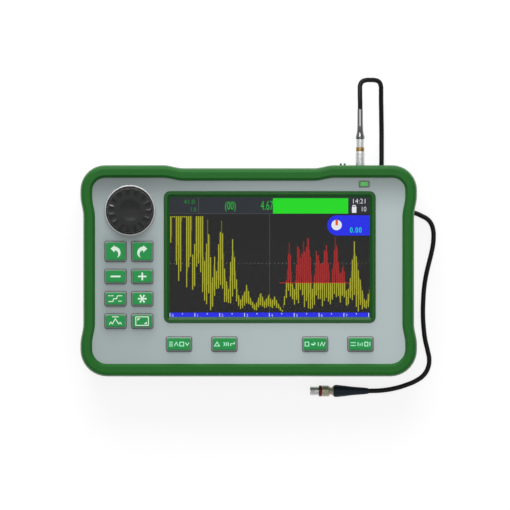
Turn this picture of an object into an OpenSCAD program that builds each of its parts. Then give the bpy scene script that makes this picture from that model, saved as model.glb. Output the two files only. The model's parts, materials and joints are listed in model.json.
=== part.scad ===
// Hand-held ultrasonic case depth tester with its probe lead.
// It lies on its back: +X to the right of the screen, +Y towards the sockets, +Z out of the screen.
// Lengths are in millimetres and z = 0 is the table under its feet.

/* [Case] */
// Width over the corners of the bumper
case_w = 209; // [200:1:220]
// Height over the corners of the bumper
case_h = 131.2; // [128:0.2:138]
// Depth from the table to the top of the bumper's front lip
case_d = 50; // [48:0.5:56]
// Gap between the table and the back of the case, under the feet
back_z = 4.5; // [3.8:0.1:5.5]
// Drop of the seam between the two shells below the panel
seam_drop = 10.5; // [9.5:0.1:11]
// Wall of the moulded shells
wall_t = 2.5; // [2:0.1:3]
// Depth of the waist in both short sides
side_waist = 1.8; // [0:0.1:3]
// Depth of the waist in the top side
top_waist = 1.9; // [0:0.1:3]

/* [Bumper] */
// Radius of the two corners beside the sockets
corner_top_r = 15.4; // [14:0.2:18]
// Radius of the two corners below the soft keys
corner_low_r = 16.6; // [15:0.2:19]
// Thickness of the rubber over the sides
bumper_t = 3; // [2.4:0.1:3.6]
// Width of the front lip over the panel
lip_w = 7.3; // [6:0.1:8]
// How much wider the front lip is along the top and the bottom
lip_more = 0.5; // [0:0.1:1]
// Height of the front lip above the panel
lip_t = 2.5; // [1.8:0.1:3]
// Width of the rear lip under the case
back_lip_w = 9; // [8:0.2:10]
// Thickness of the rear lip
back_lip_t = 2.8; // [2.4:0.1:3.2]
// Radius of the long outer edges
edge_r = 2.4; // [2:0.1:4]

/* [Screen] */
// Width of the green rim round the picture
rim_w = 3.65; // [3.4:0.05:4.2]
// Height of the rim above the panel
rim_t = 1; // [0.6:0.1:1.6]
// Thickness of the window
window_t = 1.5; // [1:0.1:1.7]
// Distance from the right side of the case to the rim
rim_from_side = 25.7; // [24:0.1:27]
// Distance from the top side of the case to the rim
rim_from_top = 16.15; // [15.5:0.05:17]
// Distance from the low side of the case to the rim
rim_from_low = 33.25; // [32:0.05:34]
// Gap between the keypad and the rim
rim_from_keys = 6.7; // [6.4:0.1:8]

/* [Keys] */
// Width of a keypad key
key_w = 13.4; // [12:0.1:13.8]
// How much taller the two keys in the first row are
tall_more = 3.5; // [2:0.1:4]
// Gap between the rows of keys, and between the knob and the first row
key_gap = 4.85; // [4:0.05:5.5]
// Distance from the low side of the case to the keypad
keys_from_low = 29.9; // [28.5:0.1:31]
// Width of a soft key
soft_key_w = 15.9; // [14:0.1:18]
// Height of a soft key
soft_key_h = 9; // [8:0.1:10]
// Height of a key above the panel
key_rise = 2.6; // [2:0.1:3]
// Travel of a key
key_travel = 1; // [0.6:0.1:1.1]
// Distance between the two columns of keys
key_col_step = 16.6; // [16.2:0.1:17.5]

/* [Knob] */
// Diameter of the knob
knob_d = 28.6; // [26:0.1:30]
// Height of the knob above the panel
knob_rise = 8.4; // [7:0.1:10]
// Width of the metal ring that shows round the knob
collar_show = 1.5; // [1.3:0.1:2]
// Diameter of the dish in the top of the knob
dish_d = 14.4; // [12:0.1:16]
// Number of finger flutes round the top of the knob
flute_count = 15; // [12:1:24]
// Diameter of the encoder's shaft
shaft_d = 6; // [5:0.1:6.4]
// Travel of the knob when it is pressed
press_travel = 0.6; // [0.3:0.1:0.7]
// Distance from the left side of the case to the knob's axis
knob_from_side = 30.7; // [30:0.1:32]
// Distance from the top side of the case to the knob's axis
knob_from_top = 28.1; // [27:0.1:29]

/* [Sockets] */
// Drop of the sockets and of the power key below the seam
socket_drop = 10; // [9.5:0.1:11]
// Distance between the power key and the first socket, and between the two sockets
socket_step = 10.8; // [10.4:0.1:11.4]
// Distance from the right side of the case to the socket that holds the plug
socket_from_side = 35.3; // [34:0.1:37]
// Diameter of the bore of a coaxial socket
socket_bore_d = 4.3; // [4.1:0.1:4.6]
// Outer diameter of a socket's body
socket_d = 6.8; // [6.4:0.1:7.2]
// Diameter of the round nut on a socket
nut_d = 9.4; // [9:0.1:9.8]
// Width of the power key
power_w = 4.8; // [4.4:0.1:5.2]
// Length of the power key
power_l = 9; // [8:0.1:10]
// Height of the power key's ridges above the bumper
power_proud = 1.2; // [0.6:0.1:1.6]
// Travel of the power key
power_travel = 0.8; // [0.4:0.1:1]
// Length of the flap over the charging sockets
flap_l = 32; // [30:0.5:34]
// Height of the flap over the charging sockets
flap_h = 15; // [14:0.1:16]

/* [Back] */
// Distance from the short sides of the case to the middle of a foot
foot_from_side = 34.5; // [33:0.5:36]
// Distance from the long sides of the case to the middle of a foot
foot_from_top = 19.6; // [19:0.1:22]
// Gap between the feet and the tilt stand
stand_from_foot = 9; // [8:0.5:18]
// Gap between the tilt stand and the battery door
stand_from_door = 6.3; // [5:0.1:12]
// Distance from the top side of the case to the stand's hinge
stand_from_top = 18.1; // [17:0.1:20]
// Gap between the feet and the battery door
door_from_foot = 14.5; // [13:0.5:20]
// Room between the battery pack and the main board
battery_room = 6.7; // [6.5:0.1:9]
// Length of the battery pack
battery_l = 33; // [30:0.5:34]
// Thickness of the stand and of the battery door
leaf_t = 2.6; // [2.2:0.1:2.8]
// Diameter of the hinge pins
pin_d = 1.4; // [1:0.1:1.5]
// Diameter of a foot
foot_d = 14; // [10:0.5:15]

/* [Lead] */
// Diameter of the probe lead
lead_d = 3; // [2.4:0.1:3.2]
// Diameter of the metal shell of the plug in the socket
plug_d = 5.5; // [5:0.1:6]
// Diameter of the metal shell of the free plug
end_plug_d = 6.8; // [6.2:0.1:7]
// Diameter of the slotted sleeve of the free plug
sleeve_d = 5.3; // [5:0.1:5.6]

/* [Hidden] */

overrun = 1;
fit = 0.3;
seat = 0.2;
running = 0.05;
round_fn = 64;
small_fn = 32;

bumper_green = [0.18, 0.40, 0.20];
panel_grey = [0.62, 0.67, 0.67];
key_green = [0.21, 0.58, 0.33];
knob_black = [0.19, 0.20, 0.20];
board_green = [0.10, 0.32, 0.18];
metal_grey = [0.66, 0.66, 0.66];
rubber_black = [0.08, 0.08, 0.09];

// Heights of the main faces
panel_z = case_d - lip_t;
seam_z = panel_z - seam_drop;
socket_z = seam_z - socket_drop;
inside_z = panel_z - wall_t;
floor_z = back_z + wall_t;
bumper_low = 0.5;
bumper_z = back_z - bumper_low;

// Outline of the case: the waists begin and end at these shares of its height and width
wave_len = 12.5;
side_low_share = -0.347;
side_high_share = 0.354;
top_wave_share = 0.254;
arc_steps = 9;
wave_steps = 6;
side_low = case_h * side_low_share;
side_high = case_h * side_high_share;
top_side = case_w * top_wave_share;

function ease(t, a, b) = let (s = min(1, max(0, (t - a) / (b - a)))) s * s * (3 - 2 * s);
function side_wave(y) =
    side_waist * ease(y, side_low, side_low + wave_len) * (1 - ease(y, side_high - wave_len, side_high));
function top_wave(x) = top_waist * (1 - ease(abs(x), top_side - wave_len, top_side));
function arc(cx, cy, r, from) =
    [for (i = [0:arc_steps]) let (a = from + 90 * i / arc_steps) [cx + r * cos(a), cy + r * sin(a)]];
// Places along a wavy side, from its start to its end, through both slopes of the waist
function wave_places(start, end) =
    concat([for (i = [0:wave_steps]) start + wave_len * i / wave_steps],
           [for (i = [0:wave_steps]) end - wave_len * (1 - i / wave_steps)]);
// The case's outline, drawn in by an inset, anticlockwise from the lower right corner
function outline(inset) =
    let (x = case_w / 2, y = case_h / 2, low = corner_low_r, high = corner_top_r,
         side = wave_places(side_low, side_high), top = wave_places(-top_side, top_side),
         n = len(side) - 1)
    concat(arc(x - low, low - y, low - inset, -90),
           [for (t = side) [x - inset - side_wave(t), t]],
           arc(x - high, y - high, high - inset, 0),
           [for (i = [0:n]) [top[n - i], y - inset - top_wave(top[n - i])]],
           arc(high - x, y - high, high - inset, 90),
           [for (i = [0:n]) [inset - x + side_wave(side[n - i]), side[n - i]]],
           arc(low - x, low - y, low - inset, 180));

// Rounded rectangle about the origin, anticlockwise
ring_steps = 4;
least_r = 0.1;
function rect_ring(w, h, r) =
    let (q = max(r, least_r))
    [for (c = [0:3], i = [0:ring_steps])
        let (a = 90 * (c + i / ring_steps), sx = c == 0 || c == 3 ? 1 : -1, sy = c < 2 ? 1 : -1)
        [sx * (w / 2 - q) + q * cos(a), sy * (h / 2 - q) + q * sin(a)]];

// A closed band: each [inset, z] of the profile is carried round its own outline
module band(profile, rings) {
    m = len(profile);
    n = len(rings[0]);
    points = [for (i = [0:n - 1], j = [0:m - 1]) [rings[j][i].x, rings[j][i].y, profile[j][1]]];
    faces = [for (i = [0:n - 1], j = [0:m - 1])
        let (a = i * m + j, b = ((i + 1) % n) * m + j,
             c = ((i + 1) % n) * m + (j + 1) % m, d = i * m + (j + 1) % m)
        each [[a, b, c], [a, c, d]]];
    polyhedron(points, faces, convexity = 6);
}

// A solid through rounded rectangles [width, height, corner radius, z], from the lowest up
module loft(levels) {
    rings = [for (l = levels) rect_ring(l[0], l[1], l[2])];
    n = len(rings[0]);
    top = len(levels) - 1;
    points = [for (k = [0:top], i = [0:n - 1]) [rings[k][i].x, rings[k][i].y, levels[k][3]]];
    sides = [for (k = [0:top - 1], i = [0:n - 1])
        let (a = k * n + i, b = k * n + (i + 1) % n) each [[a, a + n, b + n], [a, b + n, b]]];
    polyhedron(points, concat([[for (i = [0:n - 1]) i]], sides,
                              [[for (i = [0:n - 1]) top * n + n - 1 - i]]), convexity = 4);
}

module slab(inset, z0, z1) {
    translate([0, 0, z0]) linear_extrude(z1 - z0) polygon(outline(inset));
}
module plate(w, h, r, z0, z1) {
    translate([0, 0, z0]) linear_extrude(z1 - z0) polygon(rect_ring(w, h, r));
}
module post(r, z0, z1) {
    translate([0, 0, z0]) cylinder(r = r, h = z1 - z0, $fn = round_fn);
}
// A cylinder along +Y from y0 to y1
module rod_y(r, y0, y1) {
    translate([0, y0, 0]) rotate([-90, 0, 0]) cylinder(r = r, h = y1 - y0, $fn = round_fn);
}
// A cone along +Y, from radius r0 at y0 to radius r1 at y1
module cone_y(r0, r1, y0, y1) {
    translate([0, y0, 0]) rotate([-90, 0, 0]) cylinder(r1 = r0, r2 = r1, h = y1 - y0, $fn = round_fn);
}
// A cylinder along +X from x0 to x1
module rod_x(r, x0, x1) {
    translate([x0, 0, 0]) rotate([0, 90, 0]) cylinder(r = r, h = x1 - x0, $fn = round_fn);
}
module at_corners(dx, dy) {
    for (sx = [-1, 1], sy = [-1, 1]) translate([sx * dx, sy * dy, 0]) children();
}

// Insets of the shells inside the rubber
shell_in = bumper_t + seat;
core_in = back_lip_w + seat;

// The rubber bumper's section
bevel_w = 1.7;
crown_in = 0.5;
crown_half = 8;
low_r = 3;
edge_steps = 4;
mid_z = (bumper_z + case_d) / 2;
lip_profile = [[lip_w, panel_z], [lip_w - bevel_w, case_d]];
function lip_ring(inset) =
    let (tall = case_h / 2 - inset) [for (p = outline(inset)) [p.x, p.y * (tall - lip_more) / tall]];
body_profile = concat(
    [for (i = [0:edge_steps]) let (a = 90 * i / edge_steps)
        [crown_in + edge_r * (1 - sin(a)), case_d - edge_r * (1 - cos(a))]],
    [[0, mid_z + crown_half], [0, mid_z - crown_half]],
    [for (i = [0:edge_steps]) let (a = 90 * i / edge_steps)
        [crown_in + low_r * (1 - cos(a)), bumper_z + low_r * (1 - sin(a))]],
    [[back_lip_w, bumper_z], [back_lip_w, bumper_z + back_lip_t],
     [bumper_t, bumper_z + back_lip_t], [bumper_t, panel_z]]);

// Places on the front: the keypad fills the room below the knob, and the screen the rest of the panel
knob_x = knob_from_side - case_w / 2;
knob_y = case_h / 2 - knob_from_top;
keypad_in = 0.6;
keypad_x = knob_x - keypad_in;
row_count = 4;
keys_top_y = knob_y - knob_d / 2 - key_gap;
keys_low_y = keys_from_low - case_h / 2;
key_h = (keys_top_y - keys_low_y - tall_more - (row_count - 1) * key_gap) / row_count;
tall_key_h = key_h + tall_more;
key_row_step = key_h + key_gap;
first_row_y = keys_top_y - tall_key_h / 2;
second_row_y = keys_top_y - tall_key_h - key_gap - key_h / 2;
rim_left = keypad_x + key_col_step / 2 + key_w / 2 + rim_from_keys;
rim_right = case_w / 2 - rim_from_side;
rim_top = case_h / 2 - rim_from_top;
rim_low = rim_from_low - case_h / 2;
screen_x = (rim_left + rim_right) / 2;
screen_y = (rim_low + rim_top) / 2;
frame_w = rim_right - rim_left;
frame_h = rim_top - rim_low;
frame_r = 3.8;
soft_step_share = 0.2142;
soft_step = frame_w * soft_step_share;
soft_from_low = 20.1;
soft_y = soft_from_low - case_h / 2;
led_from_side = 32.8;
led_drop = 11.7;
led_x = case_w / 2 - led_from_side;
led_y = case_h / 2 - led_drop;

// Keys as [x, y, width, height]: eight on the keypad, row by row, then four soft keys
pad_keys = [for (row = [0:row_count - 1], side = [-1, 1])
    [keypad_x + side * key_col_step / 2,
     row == 0 ? first_row_y : second_row_y - (row - 1) * key_row_step,
     key_w, row == 0 ? tall_key_h : key_h]];
soft_keys = [for (k = [-2, -1, 1, 2]) [screen_x + k * soft_step, soft_y, soft_key_w, soft_key_h]];
all_keys = concat(pad_keys, soft_keys);

// A key's section, from its flange up
key_r = 1;
key_draft = 0.8;
key_edge = 0.3;
key_shoulder = 0.6;
flange_w = 1;
flange_t = 1.2;
key_hole_gap = 0.25;
flange_top = inside_z - fit;
flange_z = flange_top - flange_t;
pad_z = flange_z - key_travel - fit;

// Places on the top side
socket_x = case_w / 2 - socket_from_side;
spare_x = socket_x + socket_step;
power_x = socket_x - socket_step;
crest_y = case_h / 2;
shell_y = crest_y - shell_in;
window_edge = 3.2;
window_half_z = 9;
window_r = 3;
window_x0 = power_x - power_w / 2 - window_edge;
window_x1 = spare_x + nut_d / 2 + window_edge;

// Places on the left side, behind the flap
port_z = socket_z;
port_share = 0.21875;
port_step = flap_l * port_share;
side_x = case_w / 2 - side_waist;
shell_x = side_x - shell_in;
flap_sunk = 0.1;
knuckle_r = leaf_t / 2;
flap_axis_x = knuckle_r + flap_sunk - side_x;
flap_axis_z = port_z - flap_h / 2 + knuckle_r;
usb_w = 8.8;
usb_h = 3.2;
jack_r = 2.9;

// Places inside
boss_in = 15.5;
boss_x = case_w / 2 - boss_in;
boss_y = case_h / 2 - boss_in;
boss_r = 4;
screw_r = 1.5;
head_r = 2.8;
head_t = 2.4;
head_depth = 7;
head_seat_z = seam_z - head_depth;
screw_reach = 12;
board_t = 1.6;
mat_rise = 3.2;
mat_t = 1.2;
key_board_z = pad_z - mat_rise - board_t;
lcd_gap = 0.3;
ledge_drop = 0.2;
window_z = panel_z - wall_t - ledge_drop;
cell_t = 1.9;
lcd_t = 7.5;
lcd_top = window_z - lcd_gap;
lcd_low = lcd_top - lcd_t;
lcd_wall = 4.8;
board_drop = 2;
main_z = lcd_low - board_drop - board_t;
chip_t = 1.8;

// Places on the back
leaf_gap = 0.1;
leaf_z = back_z + leaf_gap;
leaf_top = leaf_z + leaf_t;
pocket_top = leaf_top + seat;
hinge_z = leaf_z + leaf_t / 2;
foot_x = case_w / 2 - foot_from_side;
foot_y = case_h / 2 - foot_from_top;
foot_sunk = 1;
door_edge = 2.2;
coin_tab = 8.3;
door_w = 2 * (foot_x - foot_d / 2 - door_from_foot);
bay_w = door_w - 2 * door_edge;
battery_w = bay_w - 2 * fit;
bay_l = battery_l + 2 * fit;
bay_low_y = core_in + wall_t + door_edge + overrun - case_h / 2;
bay_y = bay_low_y + bay_l / 2;
door_l = bay_l + door_edge + coin_tab;
door_y = bay_low_y - door_edge + door_l / 2;
door_hinge_y = door_y - door_l / 2 + knuckle_r;
battery_top = main_z - chip_t - battery_room;
bay_top = battery_top + fit;
stand_w = 2 * (foot_x - foot_d / 2 - stand_from_foot);
stand_hinge_y = case_h / 2 - stand_from_top;
stand_free_y = door_y + door_l / 2 + stand_from_door;
stand_l = stand_hinge_y - stand_free_y;
coin_r = 3.4;
coin_y = bay_low_y + bay_l + coin_tab / 2;

// Holes through the rear shell for what stands in its top and left walls
module wall_holes() {
    for (x = [socket_x, spare_x]) translate([x, 0, socket_z])
        rod_y(socket_d / 2 + running, shell_y - wall_t - overrun, shell_y + overrun);
    translate([power_x, shell_y - wall_t - overrun, socket_z]) rotate([-90, 0, 0])
        plate(power_w + 2 * fit, power_l + 2 * fit, power_r, 0, wall_t + 2 * overrun);
    translate([-shell_x - overrun, port_step, port_z]) rotate([90, 0, 90])
        plate(usb_w + 2 * running, usb_h + 2 * running, usb_h / 2, 0, wall_t + 2 * overrun);
    translate([0, -port_step, port_z])
        rod_x(jack_r + running, -shell_x - overrun, overrun - shell_x + wall_t);
}

module key_holes() {
    for (k = all_keys) translate([k[0], k[1], 0])
        plate(k[2] + 2 * key_hole_gap, k[3] + 2 * key_hole_gap, key_r + key_hole_gap,
              inside_z - overrun, panel_z + overrun);
}

// Posts under the panel that carry the keypad board
post_r = 2.2;
post_in = 11.5;
post_gap = post_r + flange_w + fit;
inner_post = soft_step - soft_key_w / 2 - post_gap;
key_posts = [[post_in - case_w / 2, keys_top_y + post_gap],
             [post_in - case_w / 2, soft_y + 2 * post_gap],
             [screen_x - inner_post, soft_y], [screen_x + inner_post, soft_y],
             [screen_x + 2 * soft_step + soft_key_w / 2 + post_gap, soft_y]];

module front_shell() {
    color(panel_grey) difference() {
        union() {
            difference() {
                slab(shell_in, seam_z, panel_z);
                slab(shell_in + wall_t, seam_z - overrun, inside_z);
            }
            at_corners(boss_x, boss_y) post(boss_r, seam_z, inside_z);
            for (p = key_posts) translate([p[0], p[1], 0])
                post(post_r, key_board_z + board_t, inside_z);
        }
        at_corners(boss_x, boss_y)
            post(screw_r + running, seam_z - overrun, head_seat_z + head_t + screw_reach);
        translate([screen_x, screen_y, 0])
            plate(frame_w - 2 * sleeve_in + 2 * seat, frame_h - 2 * sleeve_in + 2 * seat,
                  frame_r - sleeve_in + seat, inside_z - overrun, panel_z + overrun);
        translate([knob_x, knob_y, 0]) post(cup_r + running, inside_z - overrun, panel_z + overrun);
        translate([led_x, led_y, 0])
            plate(led_w + 2 * running, led_h + 2 * running, led_r, inside_z - overrun, panel_z + overrun);
        key_holes();
    }
}

module rear_shell() {
    color(panel_grey) difference() {
        union() {
            difference() {
                union() {
                    slab(core_in, back_z, floor_z + back_lip_t);
                    slab(shell_in, bumper_z + back_lip_t + seat, seam_z);
                }
                slab(shell_in + wall_t, floor_z + back_lip_t, seam_z + overrun);
                slab(core_in + wall_t, floor_z, seam_z);
            }
            at_corners(boss_x, boss_y) post(boss_r, floor_z, seam_z);
            translate([0, bay_y, 0])
                plate(bay_w + 2 * wall_t, bay_l + 2 * wall_t, wall_t, back_z, bay_top + wall_t);
            translate([0, door_y, 0])
                plate(door_w + 2 * wall_t, door_l + 2 * wall_t, wall_t, back_z, pocket_top + wall_t);
            translate([0, coin_y, 0])
                post(shank_r + fit + boss_wall, back_z, leaf_top + shank_reach + wall_t);
            translate([0, (stand_hinge_y + stand_free_y + knuckle_r) / 2, 0])
                plate(stand_w + 2 * wall_t + 2 * fit, stand_l + 2 * knuckle_r + 2 * wall_t, wall_t,
                      back_z, pocket_top + wall_t);
            board_posts();
        }
        at_corners(boss_x, boss_y) {
            post(screw_r + seat, back_z, seam_z + overrun);
            post(head_r + seat, back_z - overrun, head_seat_z);
        }
        at_corners(foot_x, foot_y) post(foot_d / 2 + running, back_z - overrun, back_z + foot_sunk);
        // Battery bay, and the recess that takes its door
        translate([0, bay_y, 0]) plate(bay_w, bay_l, wall_t, back_z - overrun, bay_top);
        translate([0, door_y, 0])
            plate(door_w + 2 * fit, door_l + 2 * fit, fit, back_z - overrun, pocket_top);
        translate([0, door_hinge_y, hinge_z])
            rod_x(pin_d / 2 + running, -door_w / 2 - pin_reach, door_w / 2 + pin_reach);
        translate([0, coin_y, 0]) post(shank_r + fit, back_z, leaf_top + shank_reach + fit);
        // Recess of the tilt stand, with a finger notch at its free end
        translate([0, (stand_hinge_y + knuckle_r + stand_free_y) / 2, 0])
            plate(stand_w + 2 * fit, stand_l + knuckle_r + 2 * fit, fit, back_z - overrun, pocket_top);
        translate([0, stand_free_y + notch_r / 2, 0]) post(notch_r, back_z - overrun, pocket_top);
        translate([0, stand_hinge_y, hinge_z])
            rod_x(pin_d / 2 + running, -stand_w / 2 - pin_reach, stand_w / 2 + pin_reach);
        // Groove of the case gasket
        difference() {
            slab(shell_in + gasket_in - running, seam_z - gasket_t, seam_z + overrun);
            slab(shell_in + gasket_in + gasket_w + running,
                 seam_z - gasket_t - overrun, seam_z + 2 * overrun);
        }
        wall_holes();
    }
}

gasket_in = 0.7;
gasket_w = 1.1;
gasket_t = 0.8;
pin_reach = 2;
notch_r = 9;
shank_r = 2;
boss_wall = 1.6;
power_r = 1.2;

module case_gasket() {
    color(rubber_black) difference() {
        slab(shell_in + gasket_in, seam_z - gasket_t, seam_z);
        slab(shell_in + gasket_in + gasket_w, seam_z - gasket_t - overrun, seam_z + overrun);
    }
}

module bumper() {
    color(bumper_green) difference() {
        band(concat(lip_profile, body_profile),
             concat([for (p = lip_profile) lip_ring(p[0])], [for (p = body_profile) outline(p[0])]));
        // Window for the power key and the two sockets
        translate([(window_x0 + window_x1) / 2, shell_y - fit, socket_z]) rotate([-90, 0, 0])
            plate(window_x1 - window_x0, 2 * window_half_z, window_r, 0, bumper_t + 2 * overrun);
        // Window for the flap
        translate([-side_x - overrun, 0, port_z]) rotate([90, 0, 90])
            plate(flap_l + 2 * fit, flap_h + 2 * fit, fit, 0, bumper_t + 2 * overrun);
        translate([flap_axis_x, 0, flap_axis_z])
            rod_y(pin_d / 2 + running, -flap_l / 2 - pin_reach, flap_l / 2 + pin_reach);
    }
}

module case_screws() {
    color(metal_grey) at_corners(boss_x, boss_y) difference() {
        union() {
            post(head_r, head_seat_z - head_t, head_seat_z);
            post(screw_r, head_seat_z - running, head_seat_z + screw_reach);
        }
        post(hex_r, head_seat_z - head_t - overrun, head_seat_z - head_t / 2, $fn = 6);
    }
}
hex_r = 1.2;

module feet() {
    color(rubber_black) at_corners(foot_x, foot_y) {
        post(foot_d / 2 - foot_edge, 0, foot_edge);
        post(foot_d / 2, foot_edge, back_z + foot_sunk);
    }
}
foot_edge = 0.8;

// The rim round the screen, with a sleeve through the panel and a ledge for the window
sleeve_in = 1.7;
ledge_in = 2.7;
rim_edge = 0.5;
rim_flat = 2;
bevel_lift = 0.6;
module screen_frame() {
    ledge_z = window_z + window_t;
    profile = [[rim_w, ledge_z + bevel_lift], [rim_flat, panel_z + rim_t], [rim_edge, panel_z + rim_t],
               [0, panel_z + rim_edge], [0, panel_z], [sleeve_in, panel_z], [sleeve_in, window_z],
               [ledge_in, window_z], [ledge_in, ledge_z], [rim_w, ledge_z]];
    color(bumper_green) translate([screen_x, screen_y, 0])
        band(profile, [for (p = profile) rect_ring(frame_w - 2 * p[0], frame_h - 2 * p[0], frame_r - p[0])]);
}

module screen_window() {
    color([0.75, 0.85, 0.9, 0.4]) translate([screen_x, screen_y, 0])
        plate(frame_w - 2 * ledge_in - seat, frame_h - 2 * ledge_in - seat, frame_r - ledge_in,
              window_z, window_z + window_t);
}

module lcd_cell() {
    color([0.12, 0.12, 0.13]) translate([screen_x, screen_y, 0])
        plate(frame_w, frame_h, overrun, lcd_top - cell_t, lcd_top);
}

module lcd_housing() {
    w = frame_w + lcd_wall;
    h = frame_h + lcd_wall;
    color(metal_grey) translate([screen_x, screen_y, 0]) difference() {
        plate(w, h, wall_t, lcd_low, lcd_top - seat);
        plate(frame_w + seat, frame_h + seat, overrun, lcd_top - cell_t, lcd_top);
    }
}

// Silicone mat with a raised pad under each key
pad_in = 1.6;
mat_edge = 1.2;
module keypad_mat() {
    z0 = key_board_z + board_t;
    color([0.85, 0.85, 0.82]) difference() {
        union() {
            translate([keypad_x, (keys_top_y + keys_low_y) / 2, 0])
                plate(key_col_step + key_w + mat_edge, keys_top_y - keys_low_y + 2 * mat_edge,
                      mat_edge, z0, z0 + mat_t);
            translate([screen_x, soft_y, 0])
                plate(4 * soft_step + soft_key_w + mat_edge, soft_key_h + mat_edge,
                      mat_edge, z0, z0 + mat_t);
            for (k = all_keys) translate([k[0], k[1], 0])
                plate(k[2] - 2 * pad_in, k[3] - 2 * pad_in, key_r, z0 + mat_t, pad_z);
        }
        for (p = key_posts) translate([p[0], p[1], 0])
            post(post_r + seat, z0 - overrun, z0 + mat_t + overrun);
    }
}

// L-shaped board under the keypad and the soft keys
board_in = 8.6;
board_far = 18;
board_high = 8;
module keypad_board() {
    x0 = board_in - case_w / 2;
    x1 = screen_x - frame_w / 2 - lcd_wall / 2 - seat - 2 * overrun;
    x2 = case_w / 2 - board_far;
    y0 = soft_y - soft_key_h / 2 - overrun;
    y1 = soft_y + soft_key_h / 2 + key_shoulder;
    y2 = knob_y + board_high;
    color(board_green) difference() {
        translate([0, 0, key_board_z]) linear_extrude(board_t)
            polygon([[x0, y0], [x2, y0], [x2, y1], [x1, y1], [x1, y2], [x0, y2]]);
        at_corners(boss_x, boss_y)
            post(boss_r + fit, key_board_z - overrun, key_board_z + board_t + overrun);
    }
}

// Main board behind the screen, hung from the panel on four spacers
spacer_r = 2.6;
spacer_in = 2.8;
spacer_share = 0.33;
// The largest chips, as shares of the board: place and size
chip_shares = [[-0.25, 0.2, 0.16, 0.24], [0.15, 0.22, 0.2, 0.2],
               [0.1, -0.2, 0.3, 0.16], [-0.3, -0.2, 0.1, 0.2]];
module spacer_places() {
    for (sx = [-1, 1], sy = [-1, 1])
        translate([screen_x + sx * frame_w * spacer_share,
                   screen_y + sy * (frame_h / 2 + lcd_wall / 2 + spacer_in), 0]) children();
}
module board_spacers() {
    color(metal_grey) spacer_places() post(spacer_r, main_z + board_t, inside_z);
}
module main_board() {
    h = frame_h + lcd_wall + 2 * spacer_in + 2 * spacer_r;
    color(board_green) translate([screen_x, screen_y, main_z]) {
        plate(frame_w, h, wall_t, 0, board_t);
        for (c = chip_shares)
            translate([c[0] * frame_w, c[1] * h, 0])
                plate(c[2] * frame_w, c[3] * h, key_edge, -chip_t, 0);
    }
}

// Transmitter and receiver board beside the sockets, on posts of the rear shell
pulser_w = 30;
pulser_h = 34;
pulser_drop = 5.4;
pulser_x = (power_x + spare_x) / 2;
pulser_y = shell_y - wall_t - pulser_h / 2 - overrun;
pulser_z = socket_z - pulser_drop - board_t;
can_t = 3.4;
// The screening can: its drop from the middle, its width and its height
can_shares = [0.2, 0.8, 0.5];
switch_y = shell_y - wall_t - flange_t - power_travel - 2 * fit;
module pulser_board() {
    color(board_green) translate([pulser_x, pulser_y, pulser_z]) {
        plate(pulser_w, pulser_h, wall_t, 0, board_t);
        translate([0, -pulser_h * can_shares[0], 0])
            plate(pulser_w * can_shares[1], pulser_h * can_shares[2], overrun, board_t, board_t + can_t);
        // Switch behind the power key
        translate([power_x - pulser_x, switch_y - power_w / 2 - pulser_y, 0])
            plate(power_w, power_w, key_edge, board_t, pulser_drop + power_w);
    }
}

io_w = 16;
io_h = flap_l - 2 * overrun;
io_x = -shell_x + wall_t + io_w / 2 + overrun;
io_drop = jack_r;
io_z = port_z - io_drop - board_t;
module io_board() {
    color(board_green) translate([io_x, 0, io_z]) plate(io_w, io_h, overrun, 0, board_t);
}
// Posts of the rear shell under the two small boards
module board_posts() {
    for (sx = [-1, 1], sy = [-1, 1]) {
        translate([pulser_x + sx * (pulser_w / 2 - post_r), pulser_y + sy * (pulser_h / 2 - post_r), 0])
            post(post_r, floor_z, pulser_z);
        translate([io_x + sx * (io_w / 2 - post_r), sy * (io_h / 2 - post_r), 0])
            post(post_r, floor_z, io_z);
    }
}

module battery_pack() {
    color([0.16, 0.22, 0.42]) translate([0, bay_y, 0])
        plate(battery_w, battery_l, wall_t, pocket_top + seat, battery_top);
}
// Spring contacts at the left end of the pack
contact_w = 4;
contact_count = 4;
module battery_contacts() {
    color([0.8, 0.7, 0.3]) for (i = [0:contact_count - 1])
        translate([-battery_w / 2 + contact_w + i * 2 * contact_w, bay_y + battery_l / 2 - contact_w,
                   battery_top])
            plate(contact_w, contact_w, key_edge, 0, bay_top - battery_top);
}

// A flat leaf that ends in a round hinge edge on the line y = 0, z = 0, and runs to +Y
module leaf(w, l) {
    difference() {
        union() {
            rod_x(knuckle_r, -w / 2, w / 2);
            translate([-w / 2, 0, -knuckle_r]) cube([w, l, leaf_t]);
        }
        rod_x(pin_d / 2 + running, -w / 2 - overrun, w / 2 + overrun);
    }
}
module hinge_pin(w) {
    color(metal_grey) rod_x(pin_d / 2, running - w / 2 - pin_reach, w / 2 + pin_reach - running);
}

module battery_door() {
    color(panel_grey) translate([0, door_hinge_y, hinge_z]) difference() {
        leaf(door_w, door_l - knuckle_r);
        translate([0, coin_y - door_hinge_y, 0]) {
            post(coin_r + seat, -leaf_t, coin_sunk - knuckle_r);
            post(shank_r + seat, -leaf_t, leaf_t);
        }
        // Shallow grip grooves
        for (i = [1:groove_count])
            translate([door_w / 2 - groove_in - i * groove_step, door_l / 2, -knuckle_r])
                cube([groove_w, door_l / 2, 2 * groove_d], center = true);
    }
}
coin_sunk = 1.4;
groove_count = 5;
groove_in = 12;
groove_step = 4;
groove_w = 1.2;
groove_d = 0.4;

module door_pin() { translate([0, door_hinge_y, hinge_z]) hinge_pin(door_w); }

// Quarter-turn screw that the door keeps
slot_w = 1.2;
slot_d = 0.7;
shank_reach = 3;
module door_screw() {
    color(metal_grey) translate([0, coin_y, 0]) difference() {
        union() {
            post(coin_r, leaf_z, leaf_z + coin_sunk - running);
            post(shank_r, leaf_z + coin_sunk - key_edge, leaf_top + shank_reach);
        }
        translate([0, 0, leaf_z]) cube([2 * coin_r - slot_w, slot_w, 2 * slot_d], center = true);
    }
}

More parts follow.
